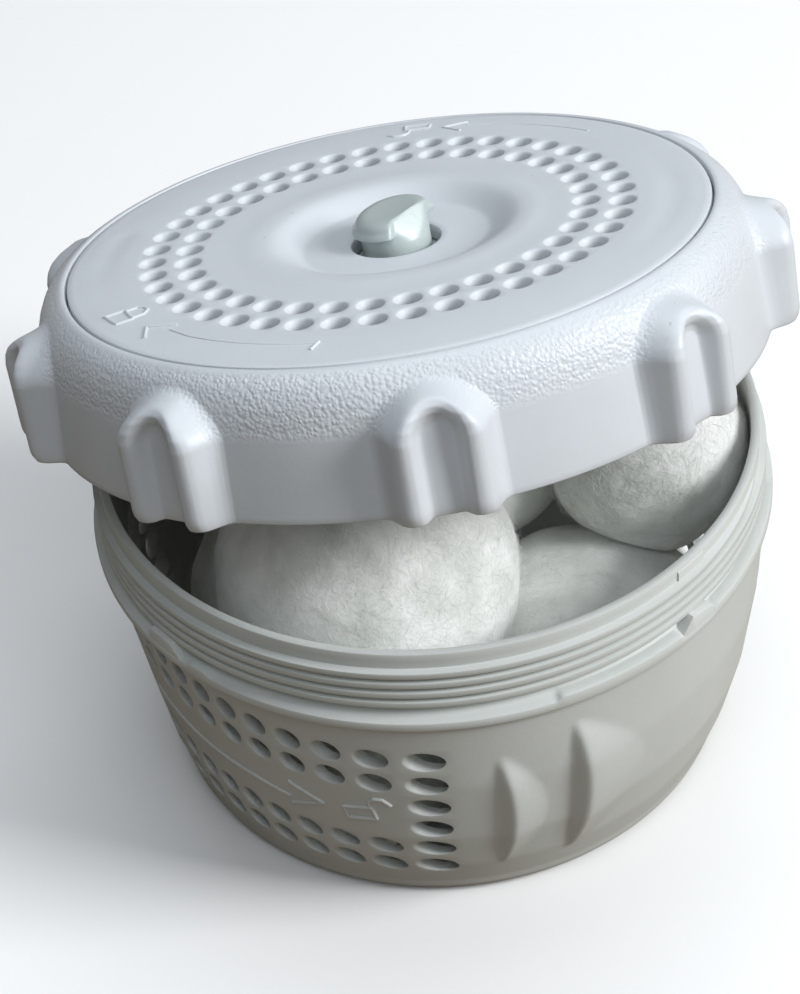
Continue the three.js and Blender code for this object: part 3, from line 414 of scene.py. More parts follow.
def basket_mesh():
    """The basket's grid with the squares of its holes left out and a bored wall put into each."""
    points, rows_out, rows_in = basket_grid()
    rows, columns = points.shape[:2]
    keep = np.ones((rows, columns), bool)
    panel, row, column = np.array([
        (panel, row, column) for panel in range(2) for row in range(HOLE_ROWS)
        for column in range(HOLE_COLUMNS) if row not in MARKED_ROWS or column in (0, HOLE_COLUMNS - 1)]).T
    ups, acrosses = row * HOLE_SPLIT, panel * (columns // 2) + column * HOLE_SPLIT
    middles = np.array(PANEL_AZIMUTHS)[panel][:, None]
    step = np.arange(HOLE_SPLIT)
    for rows_here, low in ((rows_out, 0), (rows_in, 1)):
        cell_rows = rows_here[ups[:, None] + step + low]
        keep[cell_rows[:, :, None], (acrosses[:, None] + step)[:, None, :]] = False
    edge = square_edge(HOLE_SPLIT, HOLE_SPLIT)
    number = np.arange(rows * columns).reshape(rows, columns)
    edge_up, edge_across = ups[:, None] + edge[:, 0], acrosses[:, None] + edge[:, 1]
    edge_out = number[rows_out[edge_up], edge_across]
    edge_in = number[rows_in[edge_up], edge_across]
    direction = np.arctan2(edge[:, 0] - HOLE_SPLIT / 2, edge[:, 1] - HOLE_SPLIT / 2)
    top = body_radius(LOWEST_ROW + (HOLE_ROWS - 1) * HOLE_ROW_PITCH)
    z0 = LOWEST_ROW + ups / HOLE_SPLIT * HOLE_ROW_PITCH
    l0 = ((acrosses % (columns // 2)) / HOLE_SPLIT + 0.5 - HOLE_COLUMNS / 2) * HOLE_PITCH

    def on_wall(reach, depth, inner):
        """Points at a reach from each hole's axis, on one face of the wall or a depth below it."""
        z = z0[:, None] + reach * np.sin(direction)
        lateral = (l0 * body_radius(z0) / top)[:, None] + reach * np.cos(direction)
        radius = body_radius(z) - (BASKET_WALL if inner else 0)
        radius = np.minimum(radius, LIP_INNER) if inner else radius
        azimuth = middles + np.degrees(np.arcsin(lateral / body_radius(z)))
        scale = 1 - panel_inset(azimuth, z)
        out = np.sqrt(radius ** 2 - lateral ** 2) * scale + depth
        return round_axis(middles, out, z, lateral * scale)

    loops = [on_wall(reach, -depth, False) for reach, depth in BORE_STEPS]
    loops += [on_wall(reach, depth, True) for reach, depth in BORE_END]
    flat_points = points.reshape(-1, 3)
    all_points, bored = bore_through(flat_points, edge_out, edge_in, np.stack(loops, 1))
    quads = grid_quads(rows, columns, False, True)[keep[:-1]]
    return all_points, quads, bored


def arc_block(tops, foot, outer):
    """A lug on the neck: a rounded section carried along an arc, from a foot up to its own height at each
    azimuth, and closed at both ends."""
    at, height = np.array(tops).T
    azimuth = np.linspace(at[0], at[-1], 25)
    top = np.interp(azimuth, at, height)
    across = np.array([LIP_RADIUS - 0.4, outer - 0.35, outer - 0.12, outer, outer, LIP_RADIUS - 0.4])
    up = np.stack([top, top, top - 0.1, np.maximum(top - 0.35, foot + 0.05), 0 * top + foot,
                   0 * top + foot], 1)
    return tube(round_axis(azimuth[:, None], across, up))


def unit(vectors):
    """Vectors brought to length 1."""
    return vectors / np.maximum(np.linalg.norm(vectors, axis=-1, keepdims=True), 1e-12)


def carried(path, side, up, reach, rise):
    """Points of a section at each step of a path: its corners' reaches aside and rises up from it."""
    return path[..., None, :] + side[..., None, :] * reach[..., None] + up[..., None, :] * rise[..., None]


def bead(path, normal, width, height):
    """A raised line: half an ellipse carried along a path, with its flat side sunk into the wall."""
    side = np.cross(unit(np.gradient(path, axis=0)), normal)
    turn_by = np.radians([0, 45, 90, 135, 180, 270])
    return tube(carried(path, side, normal, np.cos(turn_by) * width / 2, np.sin(turn_by) * height))


def drawn(corners, step=0.4):
    """Points every so many millimetres along a line through corners, with each corner kept."""
    corners = np.array(corners, float)
    pieces = [np.linspace(a, b, max(2, int(np.linalg.norm(b - a) / step) + 1))[:-1]
              for a, b in zip(corners[:-1], corners[1:])]
    return np.concatenate(pieces + [corners[-1:]])


def joined(parts):
    """Several closed shells as one list of points and faces."""
    points, faces, count = [], [], 0
    for shell, blocks in parts:
        points.append(shell)
        faces += [block + count for block in blocks]
        count += len(shell)
    return np.concatenate(points), faces


def on_basket(line, middle):
    """A line drawn flat, as (millimetres along the wall, height), laid on the basket's panel."""
    line = drawn(line)
    z = line[:, 1]
    azimuth = middle + np.degrees(line[:, 0] / body_radius(z))
    radius = body_radius(z) * (1 - panel_inset(azimuth, z)) - 0.05
    return bead(round_axis(azimuth, radius, z), round_axis(azimuth, 1.0, 0.0), *MARK_BEAD)


# Arrow and open padlock in the band between the holes, which show the way to unlock.
BASKET_MARKS = (
    ((-13.0, 24.2), (0.0, 23.9), (13.7, 23.9), (21.1, 23.1)),
    ((21.0, 21.4), (27.3, 24.4), (21.6, 27.2)),
    ((30.8, 25.1), (31.1, 22.4), (35.9, 23.2), (35.6, 26.1), (30.8, 25.1)),
    ((35.2, 26.0), (35.4, 27.5), (36.3, 28.5), (37.7, 28.6), (38.9, 27.2)),
)
basket_plastic = moulded_plastic("grey_moulded_polypropylene", "#CFD3D0", "#C5C9C4", 0.5)
points, quads, bored = basket_mesh()
shells = [(points, [quads, bored])]
shells.append(thread(LIP_RADIUS, THREAD_DEPTH, NECK_THREAD_TOP, THREAD_PITCH, NECK_THREAD_TURNS,
                     NECK_THREAD_START))
for side in (0, 180):
    for tops, foot, outer in ((STOP_LUG, 47.4, 54.05), (RAMP_LUG, 47.4, 54.15), (BAND_TAB, 57.2, 52.25)):
        shells.append(arc_block([(at + side, height) for at, height in tops], foot, outer))
for middle in PANEL_AZIMUTHS:
    shells += [on_basket(line, middle) for line in BASKET_MARKS]
points, faces = joined(shells)
basket = moulding("basket", points, faces, basket_plastic)
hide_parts("basket_body")
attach(basket, "basket")

# ---- Cap ring --------------------------------------------------------------------------------------
# The screw ring of the cap, in paler polypropylene. Its domed shoulder has a pebbled grain that fades
# into a smooth skirt, and nine U-shaped lobes stand out of the skirt to grip it by.
CAP_CENTRE = np.array([-3.3, 8.4, 91.0])
CAP_TILT = math.radians(-15.0)
CAP_ROLL = math.radians(-4.35)
LOBES = 9
LOBE_AZIMUTH = 275.1
ARCH_HEIGHT = -8.4                 # centre of the arch that joins a lobe's legs
LOBE_CREST = 4.6                   # from the arch's centre to the line of the crest
FLANK_SIDE = 4.2                   # from that line to the foot of the outer flank, beside the arch
FLANK_TOP = 1.9                    # and above it
ARCH_STRETCH = 2.0                 # how much longer the inner flank is above the arch's centre
ARCH_DROP = 0.9                    # and how much nearer to that centre it starts
# How high a lobe stands, as a share of its envelope: by the distance from its middle, outside and inside.
OUTER_FLANK = ((4.7, 5.2, 5.8, 6.4, 7.0, 7.6, 8.2, 8.8, 9.4),
               (1.0, 0.985, 0.93, 0.8, 0.58, 0.34, 0.16, 0.05, 0.0))
INNER_FLANK = ((1.5, 2.1, 2.5, 2.9, 3.3, 3.8, 4.3, 4.7), (0.39, 0.41, 0.5, 0.69, 0.86, 0.96, 0.99, 1.0))
LOBE_ENVELOPE = ((1.8, 2.35, 3.1, 4.1, 5.2, 6.5, 8.2, 18.9, 19.7, 20.2, 20.5),
                 (52.7, 54.9, 56.9, 58.4, 59.4, 60.0, 60.3, 60.3, 60.1, 59.8, 59.3))
LOBE_REACH = 58.5                  # radius at which its drawing is measured across
LOBE_SPREAD = 10.4                 # degrees on each side of a lobe's middle where columns stand close
CLOSE_COLUMNS = 104
SPACED_COLUMNS = 24
ROW_NUMBERS = (0, 9, 46, 61)       # rows down the outside stand closer where the lobes arch over,
ROW_PLACES = (0.0, 3.2, 11.8)      # and these are their places along it. The last row is at its end
GRAIN_DEPTHS = (0.15, 0.65, 7.2, 8.6)
SKIRT_BOTTOM = -20.6
SKIRT_INNER = 53.7

tilt = np.array([[1, 0, 0], [0, math.cos(CAP_TILT), -math.sin(CAP_TILT)],
                 [0, math.sin(CAP_TILT), math.cos(CAP_TILT)]])
roll = np.array([[math.cos(CAP_ROLL), 0, math.sin(CAP_ROLL)], [0, 1, 0],
                 [-math.sin(CAP_ROLL), 0, math.cos(CAP_ROLL)]])
CAP_TURN = roll @ tilt
CAP_AXIS = CAP_TURN[:, 2]


def tilted(points):
    """Points of the cap's own drawing, whose origin is the middle of its top face, in their real place."""
    return points @ CAP_TURN.T + CAP_CENTRE


def lobe_share(across, z):
    """How much of its envelope a grip lobe fills, at a distance across from its middle. The lobe is an
    upside-down U whose crest keeps one distance from the arch's centre. Outside the crest the flank is
    long beside the arch and short above it, and inside the crest the other way round."""
    above = np.maximum(z - ARCH_HEIGHT, 0)
    out = np.hypot(across, above)
    up = above / np.maximum(out, 1e-6)
    flank = 1 / np.hypot(np.sqrt(1 - up * up) / FLANK_SIDE, up / FLANK_TOP)
    outer = out + np.maximum(out - LOBE_CREST, 0) * (FLANK_SIDE / flank - 1)
    first = INNER_FLANK[0][0]
    inner = first + (out - first + ARCH_DROP * up * up) / (1 + (ARCH_STRETCH - 1) * up * up)
    return np.minimum(np.interp(outer, *OUTER_FLANK), np.interp(inner, *INNER_FLANK))


def ring_grid():
    """Points of the ring as a closed profile of rows: shoulder, skirt with lobes, lower edge, inside and
    ledge. The columns stand closer on the lobes. Also the strength of the grain at each point."""
    pitch = 360 / LOBES
    on_lobe = np.linspace(-LOBE_SPREAD, LOBE_SPREAD, CLOSE_COLUMNS, endpoint=False)
    between = np.linspace(LOBE_SPREAD, pitch - LOBE_SPREAD, SPACED_COLUMNS, endpoint=False)
    sector = np.concatenate([on_lobe, between])
    offset = np.tile(sector, LOBES)
    azimuth = offset + LOBE_AZIMUTH + np.repeat(np.arange(LOBES) * pitch, len(sector))
    across = np.radians(np.where(offset > pitch / 2, offset - pitch, offset)) * LOBE_REACH
    count = len(azimuth)
    corner = np.array([[49.4, -0.35], [49.55, -0.1], [49.9, 0.0], [50.7, -0.25], [51.7, -0.8],
                       [52.6, -1.6], [53.4, -2.7], [54.05, -4.0], [54.6, -5.7], [55.0, -7.6],
                       [55.35, -10.5], [55.75, -14.5], [56.05, -18.0], [56.2, -20.2]])
    travelled = np.concatenate([[0], np.cumsum(np.linalg.norm(np.diff(corner, axis=0), axis=1))])
    row = np.interp(np.arange(ROW_NUMBERS[-1] + 1), ROW_NUMBERS, [*ROW_PLACES, travelled[-1]])
    r_out = np.interp(row, travelled, corner[:, 0])
    z_out = np.interp(row, travelled, corner[:, 1])
    z = np.repeat(z_out[:, None], count, 1)
    r = np.repeat(r_out[:, None], count, 1)
    share = lobe_share(across, z)
    r = r + np.maximum(np.interp(-z, *LOBE_ENVELOPE) - r, 0) * share * (z < -1.6)
    tip = r[-1]
    edge = [(tip - 0.1, -20.4), (tip - 0.4, -20.55), (0.5 * (tip + 55.0), SKIRT_BOTTOM),
            (0 * tip + 54.6, SKIRT_BOTTOM), (0 * tip + SKIRT_INNER + 0.25, SKIRT_BOTTOM),
            (0 * tip + SKIRT_INNER, SKIRT_BOTTOM + 0.25)]
    inside = np.array([[SKIRT_INNER, -19.8], [SKIRT_INNER, -14.0], [SKIRT_INNER, -9.0], [53.3, -7.4],
                       [52.4, -6.0], [50.0, -4.4], [47.0, -4.4], [46.8, -4.3], [46.8, -2.75],
                       [46.95, -2.6], [49.3, -2.6], [49.4, -2.5], [49.4, -1.4]])
    radius = np.concatenate([r, [e[0] for e in edge], np.repeat(inside[:, :1], count, 1)])
    height = np.concatenate([z, [0 * tip + e[1] for e in edge], np.repeat(inside[:, 1:], count, 1)])
    grain = np.zeros_like(radius)
    fade = np.interp(-z_out, GRAIN_DEPTHS, (0, 1, 1, 0))
    grain[:len(z_out)] = fade[:, None] * np.clip(1 - share * 2.2, 0, 1)
    return round_axis(azimuth, radius, height), grain


cap_plastic = moulded_plastic("pale_moulded_polypropylene", "#D0D5D8", "#C8CDD1", 0.5)
ring_plastic = moulded_plastic("pale_grained_polypropylene", "#D0D5D8", "#C6CBCF", 0.42, grain=0.14,
                               grain_size=0.58)
points, grain = ring_grid()
quads = grid_quads(*points.shape[:2], True, True).reshape(-1, 4)
inside_thread = thread(SKIRT_INNER, -THREAD_DEPTH, -9.0, THREAD_PITCH, 2, 0.0)
points, faces = joined([(points.reshape(-1, 3), [quads]), inside_thread])
grain = np.concatenate([grain.ravel(), np.zeros(len(inside_thread[0]))])
ring = moulding("screw_ring", tilted(points), faces, ring_plastic, sharp=40, grain=grain)
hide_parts("cap_ring")
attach(ring, "ring")

# ---- Cap disc --------------------------------------------------------------------------------------
# The perforated plate in the ring. Water enters through two rings of countersunk holes. A shallow dish,
# a little off the plate's middle, leads down to the knob, whose spring housing hangs below.
DISC_THICKNESS = 2.3
CROWN = 0.4                        # the plate's middle stands above its edge
CROWN_WIDTH = 8.6                  # from its edge to its level part
DISC_RADIUS = 48.7
DISH_RADIUS = 19.8
DISH_SIDE = 5.4                    # width of its sloping side
DISH_DEPTH = 2.0                   # below the plate's edge
DISH_CURVE = 0.65                  # share of its side that is a quarter wave. The rest eases in and out
DISH_OFFSET = 1.2                  # along X,
OFFSET_FROM = 20.4                 # in full up to this radius
SWELL = (0.12, 21.6, 1.6)          # round the dish: height, radius and width
DENT = (0.16, 43.4, 2.4)           # at the ribs: depth, radius and half width
DENT_START = 160.0                 # an azimuth, from which the dents lie so many degrees on, with widths
DENT_SPANS = ((2.0, 26.0), (193.0, 24.0))
UNDER_DISH = -4.3
HOUSING_END = -16.3
HOOK_HALF = 3.5                    # half its width
RING_HOLES = ((42, 35.9, 1.2, 6), (36, 30.4, 5.6, 7))
RADIAL_STEPS = 6
CELL_HALF = 2.6
SINK_STEPS = ((2.26, 0.0), (2.14, 0.04), (2.02, 0.16), (1.9, 0.42), (1.78, 0.9), (1.72, 1.4))
SINK_END = ((1.74, 0.15), (1.88, 0.0))
DISC_STEPS = 252
LOCK_BEAD = (0.55, 0.27)
SHAFT_BEAD = (0.4, 0.18)


def disc_top(radius, azimuth):
    """Height of the plate's top: a low crown, a dish whose side curves down to a crease at its level
    bottom, a faint swell round it, and the soft dents that a mould leaves where it cools over ribs."""
    crown = CROWN * np.sin(np.clip((DISC_RADIUS - radius) / CROWN_WIDTH, 0, 1) * np.pi / 2)
    t = np.clip((DISH_RADIUS - radius) / DISH_SIDE, 0, 1)
    side = DISH_CURVE * (1 - np.cos(t * np.pi / 2)) + (1 - DISH_CURVE) * eased(t)
    height, middle, width = SWELL
    swell = height * np.exp(-((radius - middle) / width) ** 2)
    on = (azimuth - DENT_START) % 360
    strength = sum(np.exp(-((on - away) / span) ** 2) for away, span in DENT_SPANS)
    depth, middle, width = DENT
    dent = depth * strength * np.cos(np.clip((radius - middle) / width, -1, 1) * np.pi / 2)
    return crown - (CROWN + DISH_DEPTH) * side + swell - dent


def disc_grid():
    """Points of the disc as a closed profile of rows, with the azimuth of each column shifted smoothly
    from the phase of one ring of holes to the phase of the other, and the rows inside the holes moved to
    the knob's axis."""
    cell = np.arange(RADIAL_STEPS + 1) / RADIAL_STEPS * 2 * CELL_HALF - CELL_HALF
    outer_cell, inner_cell = RING_HOLES[0][1] + cell, RING_HOLES[1][1] + cell
    middle = np.array([7.35, 8.2, 9.4, 11.0, 12.6, 13.8, 14.3, 14.8, 15.5, 16.3, 17.1, 17.9, 18.7, 19.5,
                       20.3, 21.2, 22.2, 23.4, 24.8, 26.4])
    outside = np.array([39.5, 40.6, 41.6, 42.6, 43.6, 44.6, 45.6, 46.8, 48.0, 48.75])
    top = np.concatenate([middle, inner_cell, outer_cell, outside])
    phase_inner = RING_HOLES[1][2] - 180 / RING_HOLES[1][0]
    phase_outer = RING_HOLES[0][2] - 180 / RING_HOLES[0][0]
    step = 360 / DISC_STEPS
    phase_outer += step * round((phase_inner - phase_outer) / step)
    columns = np.arange(DISC_STEPS) * step

    def azimuths(radius):
        share = np.clip((radius - inner_cell[-1]) / (outer_cell[0] - inner_cell[-1]), 0, 1)
        return columns[None] + (phase_inner + (phase_outer - phase_inner) * share)[:, None]

    under = np.concatenate([[48.9], outside[::-1][1:], outer_cell[::-1], inner_cell[::-1], [26.0, 23.0]])
    housing = np.array([[20.0, -2.3], [18.2, -2.9], [14.0, -3.6], [10.1, UNDER_DISH], [10.1, -10.0],
                        [10.1, -16.0], [9.9, HOUSING_END], [8.7, HOUSING_END], [8.5, -16.1],
                        [8.5, -10.0], [8.5, UNDER_DISH], [6.8, UNDER_DISH], [6.8, -3.2], [6.82, -2.45],
                        [6.98, -2.15]])
    edge = np.array([[49.0, -0.12], [49.1, -0.4], [49.1, -2.2]])
    radius = np.concatenate([top, edge[:, 0], under, housing[:, 0]])[:, None]
    level = np.concatenate([0 * top, edge[:, 1], 0 * under - DISC_THICKNESS, housing[:, 1]])
    at = azimuths(radius[:, 0])
    height = np.repeat(level[:, None], DISC_STEPS, 1)
    height[:len(top)] = disc_top(radius[:len(top)], at[:len(top)])
    start_in, start_out = len(middle), len(middle) + len(inner_cell)
    low_out = len(top) + len(edge) + len(outside)
    up = np.arange(RADIAL_STEPS + 1)
    rows_of = {1: (start_in + up, low_out + len(outer_cell) + up[::-1]),
               0: (start_out + up, low_out + up[::-1])}
    shift = DISH_OFFSET * np.clip((inner_cell[0] - radius) / (inner_cell[0] - OFFSET_FROM), 0, 1)
    return round_axis(at, radius, height) + shift[..., None] * [1, 0, 0], rows_of


def disc_mesh():
    """The disc's grid with both rings of holes sunk through it."""
    grid, rows_of = disc_grid()
    rows, columns = grid.shape[:2]
    number = np.arange(rows * columns).reshape(rows, columns)
    keep = np.ones((rows, columns), bool)
    points, blocks = grid.reshape(-1, 3), []
    for which, (count, ring_radius, phase, split) in enumerate(RING_HOLES):
        rows_top, rows_low = rows_of[which]
        first = grid[rows_top[0], :, :2]
        start = np.degrees(np.arctan2(first[:, 1], first[:, 0]))
        offset = int(np.argmin(np.abs(degrees_from(start, phase - 180 / count))))
        across = offset + np.arange(count) * split
        step, up = np.arange(split), np.arange(RADIAL_STEPS)
        cells = (across[:, None] + step) % columns
        keep[rows_top[up][None, :, None], cells[:, None, :]] = False
        keep[rows_low[up + 1][None, :, None], cells[:, None, :]] = False
        edge = square_edge(RADIAL_STEPS, split)
        edge_columns = (across[:, None] + edge[:, 1]) % columns
        edge_top = number[rows_top[edge[:, 0]][None], edge_columns]
        edge_low = number[rows_low[edge[:, 0]][None], edge_columns]
        side = (edge[:, 1] / split - 0.5) * 2 * math.pi * ring_radius / count
        direction = np.arctan2((edge[:, 0] / RADIAL_STEPS - 0.5) * 2 * CELL_HALF, side)
        middle = (phase + np.arange(count) * 360 / count)[:, None]
        levels = [(reach, CROWN - depth) for reach, depth in SINK_STEPS]
        levels += [(reach, depth - DISC_THICKNESS) for reach, depth in SINK_END]
        loops = [round_axis(middle, ring_radius + reach * np.sin(direction), z, reach * np.cos(direction))
                 for reach, z in levels]
        points, bored = bore_through(points, edge_top, edge_low, np.stack(loops, 1))
        blocks.append(bored)
    quads = grid_quads(rows, columns, True, True)[keep]
    return points, [quads, *blocks]


def on_disc(line, width, height):
    """A line through (azimuth, radius) corners, laid on the disc's top."""
    at, r = drawn(line).T
    path = round_axis(at, r, disc_top(r, at) - 0.03)
    return bead(path, np.tile([0.0, 0.0, 1.0], (len(path), 1)), width, height)


def hook(azimuth):
    """A snap hook under the disc: its outline in radius and height, as wide as a thumbnail."""
    outline = np.array([[44.8, -2.2], [44.8, -6.7], [46.4, -6.7], [47.9, -5.3], [47.9, -4.8], [46.4, -4.7],
                        [46.4, -2.2]])
    return tube(round_axis(azimuth, outline[:, 0], outline[:, 1], np.array([[-HOOK_HALF], [HOOK_HALF]])))


# Closed and open padlock, each with the arrow that points to it, as (azimuth, radius) corners.
LOCK_MARKS = (
    ((205.2, 45.8), (205.6, 42.7), (210.9, 43.1), (210.3, 45.6), (205.2, 45.8)),
    ((206.2, 42.7), (206.3, 40.9), (207.5, 40.1), (209.1, 40.1), (210.5, 41.1), (210.4, 43.0)),
    ((220.8, 45.8), (216.8, 43.3), (221.8, 40.5)),
    ((256.2, 44.5), (257.0, 42.0)),
    ((85.7, 45.8), (80.3, 45.6), (80.3, 43.4), (85.4, 43.2), (85.7, 45.8)),
    ((84.6, 43.3), (84.7, 41.7), (86.0, 40.8), (87.9, 40.8), (89.2, 41.7)),
    ((72.0, 45.3), (76.9, 43.0), (72.2, 40.9)),
)
ARROW_SHAFTS = (((222.5, 42.1), (229.0, 42.5), (256.6, 42.4)), ((71.6, 43.6), (41.4, 44.0)))
shells = [disc_mesh()]
shells += [hook(40 + 90 * i) for i in range(4)]
shells += [on_disc(mark, *LOCK_BEAD) for mark in LOCK_MARKS]
shells += [on_disc(shaft, *SHAFT_BEAD) for shaft in ARROW_SHAFTS]
points, faces = joined(shells)
disc = moulding("perforated_disc", tilted(points), faces, cap_plastic, sharp=38)
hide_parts("cap_disc")
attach(disc, "cap")

# ---- Centre knob -----------------------------------------------------------------------------------
# A sprung post in greener acetal, guided by the disc and its retainer. Its head slopes up to one side
# and is cut back on the other by a leaning face. The retainer is a plug in the end of the housing.
HEAD_SLOPE = 0.135
HEAD_SLOPE_AZIMUTH = 30.0
HEAD_FOOT = (-0.4, 0.8)            # heights over which the slope sets in
CUT_AZIMUTH = 307.6                # direction that the cut face looks in
CUT_LEFT = 268.0                   # where the cut stops in a step,
CUT_STEP = 11.0                    # which is so many degrees wide
CUT_RIGHT = (59.0, 66.0)           # degrees from the cut's middle over which it runs out
CUT_FOOT = (-2.2, -0.6)            # heights over which it sets in
CUT_TOP = (3.22, 2.7)              # the cut's distance from the axis, at a height
CUT_LEAN = 0.62                    # outwards for each millimetre down
POST_RADIUS = 5.3
CUT_ROUND = 0.6                    # how softly its edge is rounded
KNOB_OUTLINE = ((0.0, -18.4), (4.8, -18.4), (5.15, -18.25), (5.3, -17.9), (5.3, -12.0), (5.3, -6.5),
                (5.4, -6.4), (7.9, -6.4), (8.1, -6.2), (8.1, -4.8), (7.9, -4.6), (5.4, -4.6),
                (5.3, -4.5), (5.3, -2.5), (5.3, 0.1), (5.36, 0.32), (5.6, 0.48), (6.1, 0.56), (6.38, 0.66),
                (6.52, 0.88), (6.46, 1.12), (6.27, 1.36), (6.03, 1.6), (5.84, 1.88), (5.67, 2.18),
                (5.4, 2.46), (4.98, 2.68), (4.45, 2.82), (3.8, 2.88), (2.8, 2.84), (1.6, 2.8), (0.0, 2.79))
RETAINER_OUTLINE = ((5.6, -17.6), (5.8, -17.8), (9.8, -17.8), (10.1, -17.5), (10.1, -16.8), (9.9, -16.6),
                    (8.3, -16.6), (8.2, -16.5), (8.2, -14.7), (7.9, -14.4), (5.9, -14.4), (5.6, -14.7))


def lathed(outline, columns):
    """An outline of (radius, height) points turned round the knob's axis, as a grid of radius, azimuth in
    degrees and height."""
    r, z = (np.repeat(side[:, None], columns, 1) for side in np.array(outline).T)
    return r, np.tile(np.arange(columns) * 360 / columns, (len(r), 1)), z


def round_knob_axis(r, azimuth, z):
    """Points of a grid about the knob's axis, in the cap's own drawing."""
    return round_axis(azimuth, r, z) + [DISH_OFFSET, 0, 0]


def knob_grid():
    """The knob: its head is sheared so that its top slopes, and inside the cut's sector no point of it
    stands beyond the leaning plane of the cut, nor beyond the post. A smooth minimum rounds that edge."""
    r, azimuth, z = lathed(drawn(KNOB_OUTLINE, 0.16), 288)
    towards = np.cos(np.radians(azimuth - HEAD_SLOPE_AZIMUTH))
    z = z + np.interp(z, HEAD_FOOT, (0, 1)) * HEAD_SLOPE * r * towards
    away = degrees_from(azimuth, CUT_AZIMUTH)
    plane = CUT_TOP[0] + CUT_LEAN * (CUT_TOP[1] - z)
    limit = plane / np.maximum(np.cos(np.radians(away)), 0.2)
    flush = np.minimum(r, POST_RADIUS)
    inside = eased(np.clip((away - (CUT_LEFT - CUT_AZIMUTH)) / CUT_STEP + 0.5, 0, 1))
    inside = inside * np.interp(away, CUT_RIGHT, (1, 0))
    softly = (flush + limit - np.hypot(flush - limit, CUT_ROUND)) / 2
    r = r + inside * np.minimum(softly - r, 0) * np.interp(z, CUT_FOOT, (0, 1)) * (r > 1.0)
    return round_knob_axis(r, azimuth, z)


# Acetal has a harder skin than the cap's plastic, so its shine is a little sharper.
knob_plastic = moulded_plastic("grey_green_acetal", "#B7C1BF", "#ADB8B6", 0.33)
knob_points = knob_grid()
retainer_points = round_knob_axis(*lathed(RETAINER_OUTLINE, 120))
for name, points, closed, cad_node, body in (
        ("knob", knob_points, False, "centre_knob", "knob"),
        ("housing_plug", retainer_points, True, "knob_retainer", "cap")):
    quads = grid_quads(*points.shape[:2], closed, True).reshape(-1, 4)
    piece = moulding(name, tilted(points.reshape(-1, 3)), [quads], knob_plastic, sharp=42)
    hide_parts(cad_node)
    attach(piece, body)

# ---- Spring ----------------------------------------------------------------------------------------
# A coil of drawn stainless wire between the plug and the knob's collar, which pushes the knob back up after
# it is pressed down.
WIRE_RADIUS = 0.4
COIL_RADIUS = 6.9
COIL_TURNS = 3.5
COIL_BOTTOM = -13.7                # middle of the wire
COIL_TOP = -7.1
COIL_STEPS = 190
DRAWN_GRAIN = 0.67                 # marks of the wire's drawing, coarser than real so that they show

turn = np.linspace(0, 1, COIL_STEPS)
around = 360 * COIL_TURNS * turn
lean = math.atan2((COIL_TOP - COIL_BOTTOM) / (2 * math.pi * COIL_TURNS), COIL_RADIUS)
out = round_axis(around, 1.0, 0.0)
along = round_axis(around, 0.0, math.sin(lean), math.cos(lean))
across = np.cross(out, along)
path = round_knob_axis(COIL_RADIUS, around, COIL_BOTTOM + (COIL_TOP - COIL_BOTTOM) * turn)
section = np.radians(np.arange(12) * 30)
# Each end of the wire is rounded off: its last sections shrink and step outwards as on a ball.
cap_turn = np.radians([80, 60, 35])
end_reach, end_size = np.sin(cap_turn) * WIRE_RADIUS * 0.5, np.cos(cap_turn)
centres = np.concatenate([path[0] - along[0] * end_reach[:, None], path,
                          path[-1] + along[-1] * end_reach[::-1, None]])
size = np.concatenate([end_size, np.ones(COIL_STEPS), end_size[::-1]])[:, None] * WIRE_RADIUS
outs, ups = (np.concatenate([np.repeat(way[:1], 3, 0), way, np.repeat(way[-1:], 3, 0)])
             for way in (out, across))
points, faces = tube(carried(centres, outs, ups, size * np.cos(section), size * np.sin(section)))
# Drawn wire is bright, and the fine marks of the drawing blur what it mirrors.
steel, tree, shader, place = new_material("stainless_spring_wire")
drawn_wire = node(tree, "TexNoise", {"Vector": place, "Scale": 1000 / DRAWN_GRAIN})
wear = node(tree, "MapRange", {"Value": drawn_wire.outputs["Fac"], "To Min": 0.22, "To Max": 0.4})
feed(shader, {"Metallic": 1.0, "Base Color": linear("#B9BABB"), "Roughness": wear.outputs["Result"]})
spring = moulding("spring", tilted(points), faces, steel, sharp=60)
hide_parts("knob_spring")
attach(spring, "cap")
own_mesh(spring)

# ---- Fibre balls -----------------------------------------------------------------------------------
# Balls of felted polyester fibre, soft enough to flatten where they meet. A dense core carries a loose
# coat of very fine curled fibres.
BALLS = ("front", "right", "left", "back", "middle", "lower_front", "lower_right", "lower_back",
         "lower_left")
HIDDEN_STRANDS = 500
STRANDS = dict.fromkeys(BALLS, HIDDEN_STRANDS)
STRANDS |= {"front": 4300, "lower_right": 4000, "right": 4300, "left": 2600, "lower_front": 1500}
FIBRE_STEPS = 4
FIBRE_LENGTH = (1.4, 4.2)
FIBRE_BEND = 1.6
FIBRE_SINK = 0.06                  # how far its ends lie under the skin
FIBRE_THICKNESS = (0.012, 0.022)
FIBRE_LIFT = (0.12, 0.4)           # how high the middle of one arches off the skin,
LOOSE_SHARE = 0.35                 # with some that stand
LOOSE_LIFT = 3.2                   # so many times higher
# How far a ball swells sideways and down under the cap, and from which height on it, as a share.
SAG = dict.fromkeys(BALLS, 1.5) | {"front": 0.0, "right": 0.4, "middle": 2.8, "lower_right": 3.2}
SAG_FROM = dict.fromkeys(BALLS, 0.6) | {"lower_right": 1.5}
NEAR = 4.0                         # balls further apart than this don't press on each other
CONTACT_GAP = 0.05
WALL_GAP = 0.15
SKIN_RISE = 0.8                    # the dressed skin stands this much over the CAD's ball
SKIN_LUMPS = ((0.7, 11.0), (0.3, 5.0), (0.1, 2.1), (0.03, 1.0))     # height and size of each
# Size of the patches of painted shade between the fibre's clumps.
TUFT_SHADE_SIZE = 8.33
NAP_SIZE = 1.11                    # of the tangled nap, coarser than the fibre so that it shows


